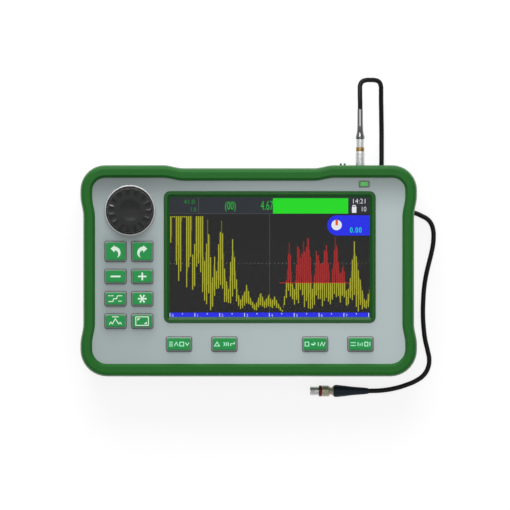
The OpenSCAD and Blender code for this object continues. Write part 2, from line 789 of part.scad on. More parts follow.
module tilt_stand() {
    color(panel_grey) translate([0, stand_hinge_y, hinge_z]) mirror([0, 1, 0]) difference() {
        leaf(stand_w, stand_l);
        // Long grooves in the outer face, and a lip for the finger
        for (share = stand_groove_shares) translate([0, share * stand_l, -knuckle_r])
            cube([stand_w * groove_len_share, groove_w, 2 * groove_d], center = true);
    }
}
// Places of the stand's grooves along it, and their length across it
stand_groove_shares = [0.25, 0.5, 0.75];
groove_len_share = 0.8;
module stand_pin() { translate([0, stand_hinge_y, hinge_z]) hinge_pin(stand_w); }

// Knob group
cup_wall = 0.5;
cup_r = knob_d / 2 + fit + cup_wall;
cup_floor_t = 1.2;
cup_low = inside_z;
collar_rise = 1.9;
collar_edge = 0.4;
bushing_wall = 0.9;
bushing_r = shaft_d / 2 + bushing_wall;
module knob_collar() {
    inner = knob_d / 2 + fit;
    outer = knob_d / 2 + collar_show;
    top = panel_z + collar_rise;
    color(metal_grey) translate([knob_x, knob_y, 0]) rotate_extrude($fn = round_fn)
        polygon([[bushing_r + running, cup_low], [cup_r, cup_low], [cup_r, panel_z], [outer, panel_z],
                 [outer, top - collar_edge], [outer - collar_edge / 2, top], [inner + collar_edge / 2, top],
                 [inner, top - collar_edge], [inner, cup_low + cup_floor_t],
                 [bushing_r + running, cup_low + cup_floor_t]]);
}

encoder_w = 12.4;
cavity_r = 4.6;
cavity_low = 1;
encoder_roof = 1;
bushing_top = 1.4;
module encoder_body() {
    z0 = key_board_z + board_t;
    color(metal_grey) translate([knob_x, knob_y, 0]) difference() {
        union() {
            plate(encoder_w, encoder_w, overrun, z0, cup_low);
            post(bushing_r, cup_low - running, cup_low + cup_floor_t + bushing_top);
        }
        post(cavity_r, z0 + cavity_low, cup_low - encoder_roof);
        post(shaft_d / 2 + running, cup_low - 2 * encoder_roof, knob_top);
    }
}

plunger_r = 2.5;
plunger_t = 0.8;
plunger_z = key_board_z + board_t + cavity_low + press_travel + seat;
module encoder_plunger() {
    color([0.9, 0.9, 0.85]) translate([knob_x, knob_y, 0]) post(plunger_r, plunger_z, plunger_z + plunger_t);
}

shaft_z = plunger_z + plunger_t + running;
collet_r = 4;
collet_t = 0.8;
knob_z = cup_low + cup_floor_t + press_travel + seat;
knob_top = panel_z + knob_rise;
hub_z = cup_low + cup_floor_t + bushing_top + press_travel + seat;
roof_t = 2.4;
bore_top = knob_top - roof_t;
module knob_shaft() {
    color(metal_grey) translate([knob_x, knob_y, 0]) {
        post(shaft_d / 2, shaft_z, bore_top);
        post(collet_r, cup_low - encoder_roof - fit - collet_t, cup_low - encoder_roof - fit);
    }
}

// The knob: a drafted black cap with a dished centre and shallow flutes round its top
top_edge = 1.6;
dish_r = dish_d / 2;
dish_deep = 0.9;
knob_draft = 0.5;
flute_r = 7;
flute_d = 0.6;
flute_gap = 2.4;
hub_r = 6;
knob_wall = 1.6;
line_angle = 165;
line_w = 0.5;
line_l = 3.8;
line_d = 0.5;
module knob() {
    r = knob_d / 2;
    dish_ball = (dish_r * dish_r + dish_deep * dish_deep) / (2 * dish_deep);
    color(knob_black) translate([knob_x, knob_y, 0]) difference() {
        union() {
            rotate_extrude($fn = round_fn)
                polygon(concat([[0, knob_z], [r, knob_z], [r, panel_z + collar_rise]],
                    [for (i = [0:edge_steps]) let (a = 90 * i / edge_steps)
                        [r - knob_draft - top_edge * (1 - cos(a)), knob_top - top_edge * (1 - sin(a))]],
                    [[0, knob_top]]));
        }
        // Hollow under the cap, round the hub
        difference() {
            post(r - knob_wall, knob_z - overrun, knob_top - roof_t);
            post(hub_r, knob_z - 2 * overrun, knob_top);
        }
        post(bushing_r + running + seat, knob_z - overrun, hub_z);
        post(shaft_d / 2, knob_z, bore_top);
        translate([0, 0, knob_top - dish_deep + dish_ball]) sphere(r = dish_ball, $fn = 2 * round_fn);
        for (i = [0:flute_count - 1]) rotate([0, 0, (i + 0.5) * 360 / flute_count])
            translate([0, 0, knob_top - flute_d + flute_r]) rod_x(flute_r, dish_r + flute_gap, knob_d);
        rotate([0, 0, line_angle])
            translate([r - line_l, -line_w / 2, knob_top - line_d]) cube([r, line_w, top_edge]);
    }
}

// Status light beside the screen
led_w = 6.7;
led_h = 4.2;
led_r = 0.7;
lens_w = 4.8;
lens_h = 2.6;
led_proud = 0.3;
lens_sunk = 0.1;
module led_bezel() {
    color(rubber_black) translate([led_x, led_y, 0]) difference() {
        plate(led_w, led_h, led_r, inside_z, panel_z + led_proud);
        plate(lens_w + 2 * running, lens_h + 2 * running, led_r / 2, inside_z - overrun, panel_z + overrun);
    }
}
module status_light() {
    color([0.3, 0.75, 0.35]) translate([led_x, led_y, 0])
        plate(lens_w, lens_h, led_r / 2, inside_z, panel_z + led_proud - lens_sunk);
}

module key(i) {
    w = all_keys[i][2];
    h = all_keys[i][3];
    top = panel_z + key_rise;
    color(key_green) translate([all_keys[i][0], all_keys[i][1], 0])
        loft([[w + 2 * flange_w, h + 2 * flange_w, key_r + flange_w, flange_z],
              [w + 2 * flange_w, h + 2 * flange_w, key_r + flange_w, flange_top],
              [w, h, key_r, flange_top],
              [w, h, key_r, panel_z + key_shoulder],
              [w - 2 * key_draft, h - 2 * key_draft, key_r, top - key_edge],
              [w - 2 * key_draft - 2 * key_edge, h - 2 * key_draft - 2 * key_edge, key_r - key_edge, top]]);
}

// Power key: a green rubber key with two ridges, pressed towards -Y
ridge_w = 1.3;
ridge_step = 2.4;
power_flange = 0.9;
module power_key() {
    y0 = shell_y - wall_t - fit - flange_t;
    top = crest_y + power_proud;
    color(bumper_green) translate([power_x, 0, socket_z]) rotate([-90, 0, 0]) {
        plate(power_w + 2 * power_flange, power_l + 2 * power_flange, power_r, y0, y0 + flange_t);
        plate(power_w, power_l, power_r, y0 + flange_t - running, top - power_proud - ridge_w / 2);
        for (s = [-1, 1]) translate([s * ridge_step / 2, 0, 0]) intersection() {
            translate([-ridge_w / 2, -power_l / 2 + overrun, crest_y - 2 * overrun])
                cube([ridge_w, power_l - 2 * overrun, top - crest_y + 2 * overrun - ridge_w / 2]);
            plate(power_w, power_l, power_r, y0, top);
        }
        for (s = [-1, 1]) translate([s * ridge_step / 2, overrun - power_l / 2, top - ridge_w / 2])
            rotate([-90, 0, 0]) cylinder(d = ridge_w, h = power_l - 2 * overrun, $fn = small_fn);
    }
}

// Coaxial sockets in the top wall
socket_back = 12;
socket_front = 2.4;
insert_l = 6;
insert_r = 1.9;
nut_t = 2;
nut_edge = 0.5;
socket_y1 = shell_y + socket_front;
socket_y0 = shell_y - socket_back;
bore_y0 = socket_y0 + insert_l;
module socket(x) {
    color(metal_grey) translate([x, 0, socket_z]) difference() {
        union() {
            rod_y(socket_d / 2, socket_y0, socket_y1);
            rod_y(nut_d / 2, shell_y - wall_t - nut_t, shell_y - wall_t);
        }
        rod_y(socket_bore_d / 2, bore_y0, socket_y1 + overrun);
        rod_y(insert_r, socket_y0 - overrun, bore_y0 + overrun);
    }
}
module probe_socket() { socket(socket_x); }
module spare_socket() { socket(spare_x); }
module socket_nuts() {
    color([0.75, 0.75, 0.77]) for (x = [socket_x, spare_x]) translate([x, 0, socket_z]) difference() {
        union() {
            rod_y(nut_d / 2, shell_y, shell_y + nut_t - nut_edge);
            rod_y(nut_d / 2 - nut_edge, shell_y + nut_t - nut_edge, shell_y + nut_t);
        }
        rod_y(socket_d / 2 + running, shell_y - overrun, shell_y + nut_t + overrun);
        // Spanner slots
        for (a = [0, 90]) rotate([0, a, 0]) translate([0, shell_y + nut_t, 0])
            cube([2 * nut_d, nut_t, slot_w], center = true);
    }
}
module socket_inserts() {
    color([0.92, 0.92, 0.9]) for (x = [socket_x, spare_x]) translate([x, 0, socket_z]) difference() {
        rod_y(insert_r - running / 2, socket_y0, bore_y0);
        rod_y(contact_r, bore_y0 - contact_r * 4, bore_y0 + overrun);
    }
}
contact_r = 0.5;

// Sockets behind the flap
usb_l = 9;
metal_t = 0.4;
module usb_socket() {
    color(metal_grey) translate([-shell_x, port_step, port_z]) rotate([90, 0, 90]) difference() {
        plate(usb_w, usb_h, usb_h / 2, 0, usb_l);
        plate(usb_w - 2 * metal_t, usb_h - 2 * metal_t, usb_h / 2 - metal_t, -overrun, usb_l - overrun);
    }
}
jack_bore_r = 1.8;
jack_pin_r = 0.6;
module charge_socket() {
    color(rubber_black) translate([0, -port_step, port_z]) {
        difference() {
            rod_x(jack_r, -shell_x, usb_l - shell_x);
            rod_x(jack_bore_r, -shell_x - overrun, usb_l - shell_x - overrun);
        }
        rod_x(jack_pin_r, overrun - shell_x, usb_l - shell_x - running);
    }
}

module port_flap() {
    color(bumper_green) translate([flap_axis_x, 0, flap_axis_z]) difference() {
        union() {
            rod_y(knuckle_r, -flap_l / 2, flap_l / 2);
            translate([-knuckle_r, -flap_l / 2, 0]) cube([leaf_t, flap_l, flap_h - 2 * knuckle_r]);
            translate([-knuckle_r, -flap_l / 2 + knuckle_r, 0])
                cube([leaf_t, flap_l - 2 * knuckle_r, flap_h - knuckle_r]);
            for (s = [-1, 1]) translate([-knuckle_r, s * (flap_l / 2 - knuckle_r), flap_h - 2 * knuckle_r])
                rotate([0, 90, 0]) cylinder(r = knuckle_r, h = leaf_t, $fn = small_fn);
        }
        rod_y(pin_d / 2 + running, -flap_l, flap_l);
    }
}
module flap_pin() {
    color(metal_grey) translate([flap_axis_x, 0, flap_axis_z])
        rod_y(pin_d / 2, running - flap_l / 2 - pin_reach, flap_l / 2 + pin_reach - running);
}

// Plug in the first socket, along +Y from the socket's mouth
nose_r = socket_bore_d / 2 - running;
plug_start = 0.2;
plug_len = 9;
plug_ring_len = 2.7;
plug_tail_len = 5.2;
plug_tail_r = 2.4;
ring_in = 0.15;
ring_y = socket_y1 + plug_start + plug_len;
tail_y = ring_y + plug_ring_len;
boot_y = tail_y + plug_tail_len;
top_boot_len = 18.5;
boot_r = 2.85;
boot_waist_r = 1.9;
boot_end_r = 1.75;
// Where the boot is widest, where it draws in and where it is a sleeve, and its radius where it draws in
top_boot_shares = [0.04, 0.17, 0.34];
top_boot_in_share = 0.81;
module top_plug() {
    color(metal_grey) translate([socket_x, 0, socket_z]) {
        rod_y(nose_r, bore_y0 + fit, socket_y1 + plug_start + running);
        rod_y(plug_d / 2, socket_y1 + plug_start, ring_y);
        rod_y(plug_tail_r - ring_in, ring_y - running, tail_y + running);
        rod_y(plug_tail_r, tail_y, boot_y);
    }
}
module top_plug_ring() {
    color([0.75, 0.6, 0.3]) translate([socket_x, 0, socket_z]) difference() {
        rod_y(plug_d / 2 - ring_in, ring_y + running, tail_y - running);
        rod_y(plug_tail_r - ring_in + running, ring_y - overrun, tail_y + overrun);
    }
}
// A boot turned about its axis: [distance from its start, radius]
module boot(points) {
    rotate([-90, 0, 0]) rotate_extrude($fn = round_fn)
        polygon(concat([[0, 0]], [for (p = points) [p[1], p[0]]], [[0, points[len(points) - 1][0]]]));
}
module top_boot() {
    color(rubber_black) translate([socket_x, boot_y, socket_z])
        boot([[0, plug_tail_r + ring_in], [top_boot_len * top_boot_shares[0], boot_r],
              [top_boot_len * top_boot_shares[1], boot_r * top_boot_in_share],
              [top_boot_len * top_boot_shares[2], boot_waist_r], [top_boot_len, boot_end_r]]);
}

// Route of the lead, from the boot at the socket, down to the table, under the case and round to the plug
route = [[69.2, 100.4, 27], [69.2, 104, 27], [69.1, 108, 26.5], [69.1, 112, 25.6], [69.2, 115.1, 24.7],
         [70.3, 117.3, 23.7], [72.5, 118.3, 22.3], [75.6, 118.5, 20.3], [78.7, 118.3, 18.1],
         [80.9, 117.3, 16.3], [82, 115.1, 14.6], [82.2, 111.6, 12.4], [82.2, 107, 9.7], [82.3, 101, 6.5],
         [82.4, 94, 3.8], [82.5, 86, 2.1], [82.5, 78, 1.5], [82.5, 70, 1.5], [82.4, 62, 1.5],
         [82.3, 54, 1.5], [82.7, 48, 1.5], [84.2, 43, 1.5], [87.5, 39.2, 1.5], [92, 37.3, 1.5],
         [98, 36.8, 1.5], [103.4, 35.8, 1.5], [107.6, 34, 1.5], [111.2, 31.9, 1.5], [113.4, 29, 1.5],
         [114.6, 25, 1.5], [114.8, 20.8, 1.5], [114.4, 16, 1.5], [113.2, 10, 1.5], [111.7, 4, 1.5],
         [110.2, -2.5, 1.5], [109, -10, 1.5], [108.4, -18, 1.5], [108.2, -27, 1.5], [108.7, -36, 1.5],
         [109.6, -43, 1.5], [111.2, -49.8, 1.5], [112.1, -55, 1.5], [111.4, -60, 1.5],
         [108.8, -64.6, 1.5], [104, -68.2, 1.6], [98, -70.8, 2], [90.6, -73, 2.7], [82.4, -74.3, 3.5],
         [74.5, -74.6, 3.8]];
lead_sides = 8;
function unit(v) = v / norm(v);
// A ring of the tube, square to the route there
function tube_ring(i) =
    let (last = len(route) - 1, t = unit(route[min(i + 1, last)] - route[max(i - 1, 0)]),
         ahead = i == 0 ? [0, 1, 0] : i == last ? [-1, 0, 0] : t,
         u = unit(cross(ahead, [0, 0, 1])), v = cross(u, ahead))
    [for (k = [0:lead_sides - 1]) let (a = 360 * (k + 0.5) / lead_sides)
        route[i] + lead_d / 2 * (u * cos(a) + v * sin(a))];
module lead() {
    n = lead_sides;
    last = len(route) - 1;
    points = [for (i = [0:last]) each tube_ring(i)];
    sides = [for (i = [0:last - 1], k = [0:n - 1])
        let (a = i * n + k, b = i * n + (k + 1) % n) each [[a, b, b + n], [a, b + n, a + n]]];
    color(rubber_black)
        polyhedron(points, concat([[for (k = [0:n - 1]) n - 1 - k]], sides,
                                  [[for (k = [0:n - 1]) last * n + k]]), convexity = 8);
}

// Free plug at the end of the lead, along -X from the lead's end
end_boot_len = 21.8;
end_waist_len = 3.3;
end_shell_len = 3.9;
end_ring_len = 2;
end_sleeve_len = 5.4;
end_waist_r = 2.2;
end_flare_r = 3.1;
end_taper_len = 1.4;
end_boot_r = 3.8;
// The boot's length and radius at its bends, as shares of its length and greatest radius
end_boot_shares = [[0, 0.46], [0.12, 0.55], [0.5, 0.72], [0.82, 0.95], [0.94, 1], [1, 0.93]];
lead_end = route[len(route) - 1];
module at_end(x) {
    translate([lead_end.x - x, lead_end.y, lead_end.z]) rotate([0, 0, 90]) children();
}
module end_boot() {
    color([0.11, 0.15, 0.2]) at_end(0)
        boot([for (s = end_boot_shares) [end_boot_len * s[0], end_boot_r * s[1]]]);
}
module end_plug() {
    color([0.65, 0.62, 0.5]) at_end(end_boot_len) difference() {
        union() {
            rod_y(end_waist_r, 0, end_waist_len + running);
            cone_y(end_flare_r, end_waist_r, 0, end_taper_len);
            cone_y(end_waist_r, end_plug_d / 2, end_waist_len - end_taper_len, end_waist_len);
            rod_y(end_plug_d / 2, end_waist_len, end_waist_len + end_shell_len);
            rod_y(end_waist_r, end_waist_len + end_shell_len - running,
                  end_waist_len + end_shell_len + end_ring_len);
        }
        // Flats for a spanner
        for (s = [-1, 1]) translate([s * end_plug_d / 2, end_waist_len + end_shell_len / 2, 0])
            cube([key_edge, end_shell_len / 2, end_plug_d], center = true);
    }
}
module end_plug_ring() {
    color([0.55, 0.2, 0.2]) at_end(end_boot_len + end_waist_len + end_shell_len) difference() {
        rod_y(end_plug_d / 2, running, end_ring_len);
        rod_y(end_waist_r + running, -overrun, end_ring_len + overrun);
    }
}
sleeve_wall = 0.6;
sleeve_slot = 0.7;
module end_plug_sleeve() {
    color(metal_grey) at_end(end_boot_len + end_waist_len + end_shell_len + end_ring_len) difference() {
        rod_y(sleeve_d / 2, 0, end_sleeve_len);
        rod_y(sleeve_d / 2 - sleeve_wall, overrun, end_sleeve_len + overrun);
        translate([0, end_sleeve_len, 0])
            cube([sleeve_slot, end_sleeve_len, sleeve_d + overrun], center = true);
    }
}
insert_sunk = 1.2;
tip_r = 0.45;
module end_plug_insert() {
    r = sleeve_d / 2 - sleeve_wall - running;
    color([0.93, 0.93, 0.9]) at_end(end_boot_len + end_waist_len + end_shell_len + end_ring_len) {
        rod_y(r, overrun + running, end_sleeve_len - insert_sunk);
        rod_y(tip_r, end_sleeve_len - insert_sunk - running, end_sleeve_len - fit);
    }
}

module key_undo() { key(0); }
module key_redo() { key(1); }
module key_minus() { key(2); }
module key_plus() { key(3); }
module key_gate() { key(4); }
module key_freeze() { key(5); }
module key_peak() { key(6); }
module key_zoom() { key(7); }
module soft_key_1() { key(8); }
module soft_key_2() { key(9); }
module soft_key_3() { key(10); }
module soft_key_4() { key(11); }

front_shell();
rear_shell();
bumper();
case_gasket();
case_screws();
feet();
screen_frame();
screen_window();
lcd_cell();
lcd_housing();
keypad_mat();
keypad_board();
main_board();
board_spacers();
pulser_board();
io_board();
battery_pack();
battery_contacts();
battery_door();
door_pin();
door_screw();
tilt_stand();
stand_pin();
knob_collar();
encoder_body();
encoder_plunger();
knob_shaft();
knob();
led_bezel();
status_light();
key_undo();
key_redo();
key_minus();
key_plus();
key_gate();
key_freeze();
key_peak();
key_zoom();
soft_key_1();
soft_key_2();
soft_key_3();
soft_key_4();
power_key();
probe_socket();
spare_socket();
socket_nuts();
socket_inserts();
charge_socket();
usb_socket();
port_flap();
flap_pin();
top_plug();
top_plug_ring();
top_boot();
lead();
end_boot();
end_plug();
end_plug_ring();
end_plug_sleeve();
end_plug_insert();
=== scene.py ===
"""Looks of a hand-held ultrasonic case depth tester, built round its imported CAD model."""

import json
import math
import random

import bpy
from bpy.props import FloatProperty, FloatVectorProperty, IntProperty, PointerProperty
from bpy.types import Operator, Panel, PropertyGroup
from mathutils import Matrix, Vector

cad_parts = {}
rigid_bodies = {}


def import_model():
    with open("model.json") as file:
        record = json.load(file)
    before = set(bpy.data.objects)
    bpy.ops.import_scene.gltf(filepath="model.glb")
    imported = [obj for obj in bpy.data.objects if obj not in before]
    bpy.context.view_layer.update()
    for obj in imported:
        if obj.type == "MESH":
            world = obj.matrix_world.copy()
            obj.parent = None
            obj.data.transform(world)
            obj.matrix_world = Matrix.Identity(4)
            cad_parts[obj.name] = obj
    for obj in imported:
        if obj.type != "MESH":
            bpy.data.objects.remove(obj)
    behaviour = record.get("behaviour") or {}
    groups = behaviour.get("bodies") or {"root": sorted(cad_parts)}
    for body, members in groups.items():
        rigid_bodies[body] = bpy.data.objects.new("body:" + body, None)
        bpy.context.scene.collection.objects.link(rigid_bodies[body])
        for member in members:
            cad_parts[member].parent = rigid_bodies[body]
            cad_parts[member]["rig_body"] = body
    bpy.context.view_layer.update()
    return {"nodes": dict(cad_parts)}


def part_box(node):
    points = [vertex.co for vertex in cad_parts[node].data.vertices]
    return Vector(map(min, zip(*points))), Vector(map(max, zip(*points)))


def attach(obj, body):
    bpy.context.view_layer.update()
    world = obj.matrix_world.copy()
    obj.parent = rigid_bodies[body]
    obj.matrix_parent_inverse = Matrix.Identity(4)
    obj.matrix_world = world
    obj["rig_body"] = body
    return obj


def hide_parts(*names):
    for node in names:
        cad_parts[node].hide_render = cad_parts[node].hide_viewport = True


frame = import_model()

bl_info = {
    "name": "Case depth tester",
    "version": (1, 0, 0),
    "blender": (4, 5, 0),
    "location": "View3D > Sidebar > Tester",
    "description": "Builds the looks of an ultrasonic case depth tester on its CAD frame",
    "category": "Object",
}

MM = 0.001
CASE = "case"

# Places read off the photograph: its width in pixels, the pixel over the origin, and mm to a pixel
PICTURE_WIDTH = 510
MIDDLE_PX, MIDDLE_PY = 248.7, 270.8
PIXEL = 0.621
# The camera's height in mm and how far it sees in m
CAMERA_HEIGHT, CAMERA_REACH = 900, 10


def px(x):
    """Millimetres to the right of the origin, from a place across the photograph."""
    return (x - MIDDLE_PX) * PIXEL


def py(y):
    """Millimetres from the origin towards the sockets, from a place down the photograph."""
    return (MIDDLE_PY - y) * PIXEL


def spot(x, y, z):
    """A place on the part in m, from one in the photograph and a height in mm."""
    return px(x) * MM, py(y) * MM, z * MM


def tone(red, green, blue):
    """A screen colour of 0 to 255 a channel, as linear light."""
    shares = [c / 255 for c in (red, green, blue)]
    return tuple(c / 12.92 if c <= 0.04045 else ((c + 0.055) / 1.055) ** 2.4 for c in shares)


def grey(level):
    return (level, level, level, 1.0)


def shade(colour, factor=1.0):
    """The colour made lighter or darker, with an alpha of one."""
    return tuple(min(1.0, c * factor) for c in colour[:3]) + (1.0,)


# Sizes and colours that a user would change


class TesterSizes(PropertyGroup):
    key_edge: FloatProperty(name="Key edge", description="Rounding of a key's edges",
                            default=0.14 * MM, min=0.02 * MM, max=0.3 * MM, precision=5, unit="LENGTH")
    key_line: FloatProperty(name="Key line", description="Width of the fine step round a key's top",
                            default=0.25 * MM, min=0.1 * MM, max=0.6 * MM, precision=5, unit="LENGTH")
    stroke: FloatProperty(name="Icon stroke", description="Half the width of a key icon's stroke",
                          default=0.27 * MM, min=0.1 * MM, max=0.5 * MM, precision=5, unit="LENGTH")
    bars: IntProperty(name="Signal bars", description="Upright bars that the signal on the screen has",
                      default=200, min=50, max=600)
    floor: FloatProperty(name="Floor", description="Width of the floor", default=4.0, unit="LENGTH")


class TesterColours(PropertyGroup):
    bumper: FloatVectorProperty(name="Bumper", description="Green rubber of the bumper",
                                subtype="COLOR", default=tone(24, 100, 28))
    panel: FloatVectorProperty(name="Panel", description="Grey plastic of the case",
                               subtype="COLOR", default=tone(182, 195, 195))
    rim: FloatVectorProperty(name="Rim", description="Dark green plastic round the screen",
                             subtype="COLOR", default=tone(10, 80, 15))
    key: FloatVectorProperty(name="Key", description="Green top of a key",
                             subtype="COLOR", default=tone(36, 148, 74))
    icon: FloatVectorProperty(name="Icon", description="Pale print on the keys",
                              subtype="COLOR", default=tone(226, 247, 230))
    soft_icon: FloatVectorProperty(name="Soft key icon", description="Mint print on the soft keys",
                                   subtype="COLOR", default=tone(182, 252, 212))
    knob: FloatVectorProperty(name="Knob", description="Black plastic of the knob",
                              subtype="COLOR", default=tone(21, 22, 22))
    trace: FloatVectorProperty(name="Trace", description="Signal on the screen",
                               subtype="COLOR", default=tone(172, 170, 54))
    echo: FloatVectorProperty(name="Echo", description="Signal above the gate",
                              subtype="COLOR", default=tone(160, 48, 48))


def sizes():
    return bpy.context.scene.tester_sizes


def colours():
    return bpy.context.scene.tester_colours


# Materials


class Wire:
    """A node's output, for sums in a material."""

    def __init__(self, paint, socket):
        self.paint, self.socket = paint, socket

    def math(self, how, other=0.5):
        return self.paint.sum(how, self, other)

    def __add__(self, other):
        return self.math("ADD", other)

    def __sub__(self, other):
        return self.math("SUBTRACT", other)

    def __rsub__(self, other):
        return self.paint.sum("SUBTRACT", other, self)

    def __mul__(self, other):
        return self.math("MULTIPLY", other)

    def __abs__(self):
        return self.math("ABSOLUTE")

    def __gt__(self, other):
        return self.math("GREATER_THAN", other)

    def __lt__(self, other):
        return self.math("LESS_THAN", other)

    __radd__, __rmul__ = __add__, __mul__


class Paint:
    """The nodes of a new material, or of a new world."""

    def __init__(self, name, owners="materials", shader="Principled BSDF"):
        self.owner = getattr(bpy.data, owners).new(name)
        self.owner.use_nodes = True
        self.tree = self.owner.node_tree
        self.shader = self.tree.nodes[shader]

    def put(self, socket, value):
        if isinstance(value, Wire):
            self.tree.links.new(value.socket, socket)
        else:
            socket.default_value = value

    def node(self, kind, settings=None, inputs=None, out=0):
        """Any node: its type, its settings, and the values or links of its sockets."""
        made = self.tree.nodes.new(kind)
        for name, value in (settings or {}).items():
            setattr(made, name, value)
        for name, value in (inputs or {}).items():
            self.put(made.inputs[name], value)
        return Wire(self, made.outputs[out])

    def sum(self, how, first, second):
        return self.node("ShaderNodeMath", {"operation": how}, {0: first, 1: second})

    def place(self):
        return self.node("ShaderNodeTexCoord", out="Object")

    def split(self, axis):
        """One coordinate of the place on the part: 0 for x, 1 for y."""
        return self.node("ShaderNodeSeparateXYZ", {}, {0: self.place()}, axis)

    def noise(self, scale, detail=2.0, vector=None):
        return self.node("ShaderNodeTexNoise", {}, {"Vector": vector or self.place(), "Scale": scale,
                                                    "Detail": detail}, "Fac")

    def mix(self, factor, first, second):
        return self.node("ShaderNodeMix", {"data_type": "RGBA"}, {0: factor, 6: first, 7: second}, 2)

    def fade(self, value, start, end):
        """Nought up to the start and one from the end, with a soft change between them."""
        return self.node("ShaderNodeMapRange", {"interpolation_type": "SMOOTHSTEP"},
                         {"Value": value, "From Min": start, "From Max": end})

    def bump(self, height, strength, depth):
        normal = self.node("ShaderNodeBump", {}, {"Strength": strength, "Distance": depth, "Height": height})
        self.put(self.shader.inputs["Normal"], normal)

    def seen(self):
        """One where the camera looks straight at it, or by way of a mirror or a clear piece."""
        camera, glossy, clear = [self.node("ShaderNodeLightPath", out=ray) for ray in
                                 ("Is Camera Ray", "Is Glossy Ray", "Is Transmission Ray")]
        return camera.math("MAXIMUM", glossy).math("MAXIMUM", clear)

    def set(self, **values):
        """Fills the shader's sockets and returns the material or world."""
        for name, value in values.items():
            self.put(self.shader.inputs[name.replace("_", " ")], value)
        return self.owner


# Scales of the noise: clouds over a moulding, over metal and over the panel, and the panel's grain
MOULDING_CLOUDS, METAL_CLOUDS, PANEL_CLOUDS, PANEL_GRAIN = 24, 60, 18, 1900
# How far the clouds, the grain and a metal's marks change the roughness
CLOUD_LUSTRE, GRAIN_LUSTRE, MARK_LUSTRE = 0.12, 0.06, 0.08
RASTER = 900.0  # scale of the screen's rows of dots


def moulded(name, colour, rough=0.5, grain=1400, depth=0.00002, strength=0.35, cloud=0.05, gloss=0.2,
            **more):
    """Moulded plastic or rubber: a fine grain, and a slow change of colour and gloss."""
    paint = Paint(name)
    slow = paint.noise(MOULDING_CLOUDS, 3.0)
    fine = paint.noise(grain, 3.0)
    base = paint.mix(slow, shade(colour, 1 - cloud), shade(colour, 1 + cloud))
    paint.bump(fine, strength, depth)
    return paint.set(Base_Color=base, Specular_IOR_Level=gloss,
                     Roughness=rough + CLOUD_LUSTRE * (slow - 0.5) + GRAIN_LUSTRE * (fine - 0.5), **more)


def metal(name, colour, rough=0.25, stretch=(1, 1, 1), scale=2400, cloud=0.06, bare=1.0):
    """Turned or plated metal, with fine marks along the way that it was worked."""
    paint = Paint(name)
    along = paint.node("ShaderNodeMapping", {}, {"Vector": paint.place(), "Scale": stretch})
    marks = paint.noise(scale, 4.0, along)
    slow = paint.noise(METAL_CLOUDS, 2.0)
    base = paint.mix(slow, shade(colour, 1 - cloud), shade(colour, 1 + cloud))
    paint.bump(marks, 0.1, 0.000002)
    return paint.set(Base_Color=base, Metallic=bare, Roughness=rough + MARK_LUSTRE * (marks - 0.5))


def lit(paint, colour):
    """Turns the shader into light of this colour alone."""
    return paint.set(Base_Color=grey(0), Specular_IOR_Level=0.0, Emission_Color=colour,
                     Emission_Strength=1.0)


def glow(ink, colour):
    """Lit dots of the screen, with their fine raster."""
    paint = Paint("screen_" + ink)
    raster = paint.node("ShaderNodeTexWave", {"bands_direction": "Y"},
                        {"Vector": paint.place(), "Scale": RASTER, "Distortion": 0.0}, "Fac")
    return lit(paint, paint.mix(raster, shade(colour, 0.94), shade(colour, 1.02)))


# Painted shade on the panel, in m: where the painted shade towards the sockets and the one to the left start
# and are full, the middle of the keypad, and how far from it the painted shade between the keys starts and
# is full
SOCKET_PAINTED_SHADE, LEFT_PAINTED_SHADE = (0.034, 0.064), (0.03, -0.1)
KEYPAD_X, KEYPAD_Y = -0.0744, -0.0085
KEYPAD_SHADE_ACROSS, KEYPAD_SHADE_ALONG = (0.020, 0.013), (0.034, 0.026)


def panel_plastic():
    """Grey plastic with painted shade: a little darker towards the sockets, to the left and between the
    keys.
    """
    paint = Paint("panel_plastic")
    plain = colours().panel
    slow = paint.noise(PANEL_CLOUDS, 3.0)
    fine = paint.noise(PANEL_GRAIN, 3.0)
    # Painted shade: the bumper lip's shadow towards the sockets, a fall-off of light to the left, and shade
    # between the keys
    sockets = paint.fade(paint.split(1), *SOCKET_PAINTED_SHADE)
    left = paint.fade(paint.split(0), *LEFT_PAINTED_SHADE)
    keypad = (paint.fade(abs(paint.split(0) - KEYPAD_X), *KEYPAD_SHADE_ACROSS)
              * paint.fade(abs(paint.split(1) - KEYPAD_Y), *KEYPAD_SHADE_ALONG))
    body = paint.mix(slow, shade(plain, 0.97), shade(plain, 1.03))
    # The painted shade darkens the panel's colour here
    base = paint.mix(sockets * 0.52 + left * 0.2 + keypad * 0.16, body, shade(plain, 0.1))
    paint.bump(fine, 0.3, 0.00002)
    return paint.set(Base_Color=base, Roughness=0.5 + 0.1 * (fine - 0.5), Specular_IOR_Level=0.2)


# The part of the signal that is red, in pixels of the photograph, and how dark every other bar and the
# speckle make it
RED_LEFT, RED_RIGHT, RED_LOW = 283.5, 346.5, 282.9
BAR_SHADE, SPECKLE_SHADE = 0.72, 0.2


def trace_light():
    """The signal: yellow, and red above the gate, with every other bar darker."""
    paint = Paint("trace_light")
    x, y = paint.split(0), paint.split(1)
    inside = (x > px(RED_LEFT) * MM) * (x < px(RED_RIGHT) * MM) * (y > py(RED_LOW) * MM)
    start, pair = px(SIGNAL[0][0]) * MM, 2 * signal_step() * PIXEL * MM
    odd = ((x - start) * (1 / pair)).math("FRACT") > 0.5
    level = 1 - BAR_SHADE * odd - SPECKLE_SHADE * paint.noise(700, 1.0)
    yellow = paint.mix(level, shade(colours().trace, 0.2), shade(colours().trace, 1.1))
    red = paint.mix(level, shade(colours().echo, 0.7), shade(colours().echo, 1.1))
    return lit(paint, paint.mix(inside, yellow, red))


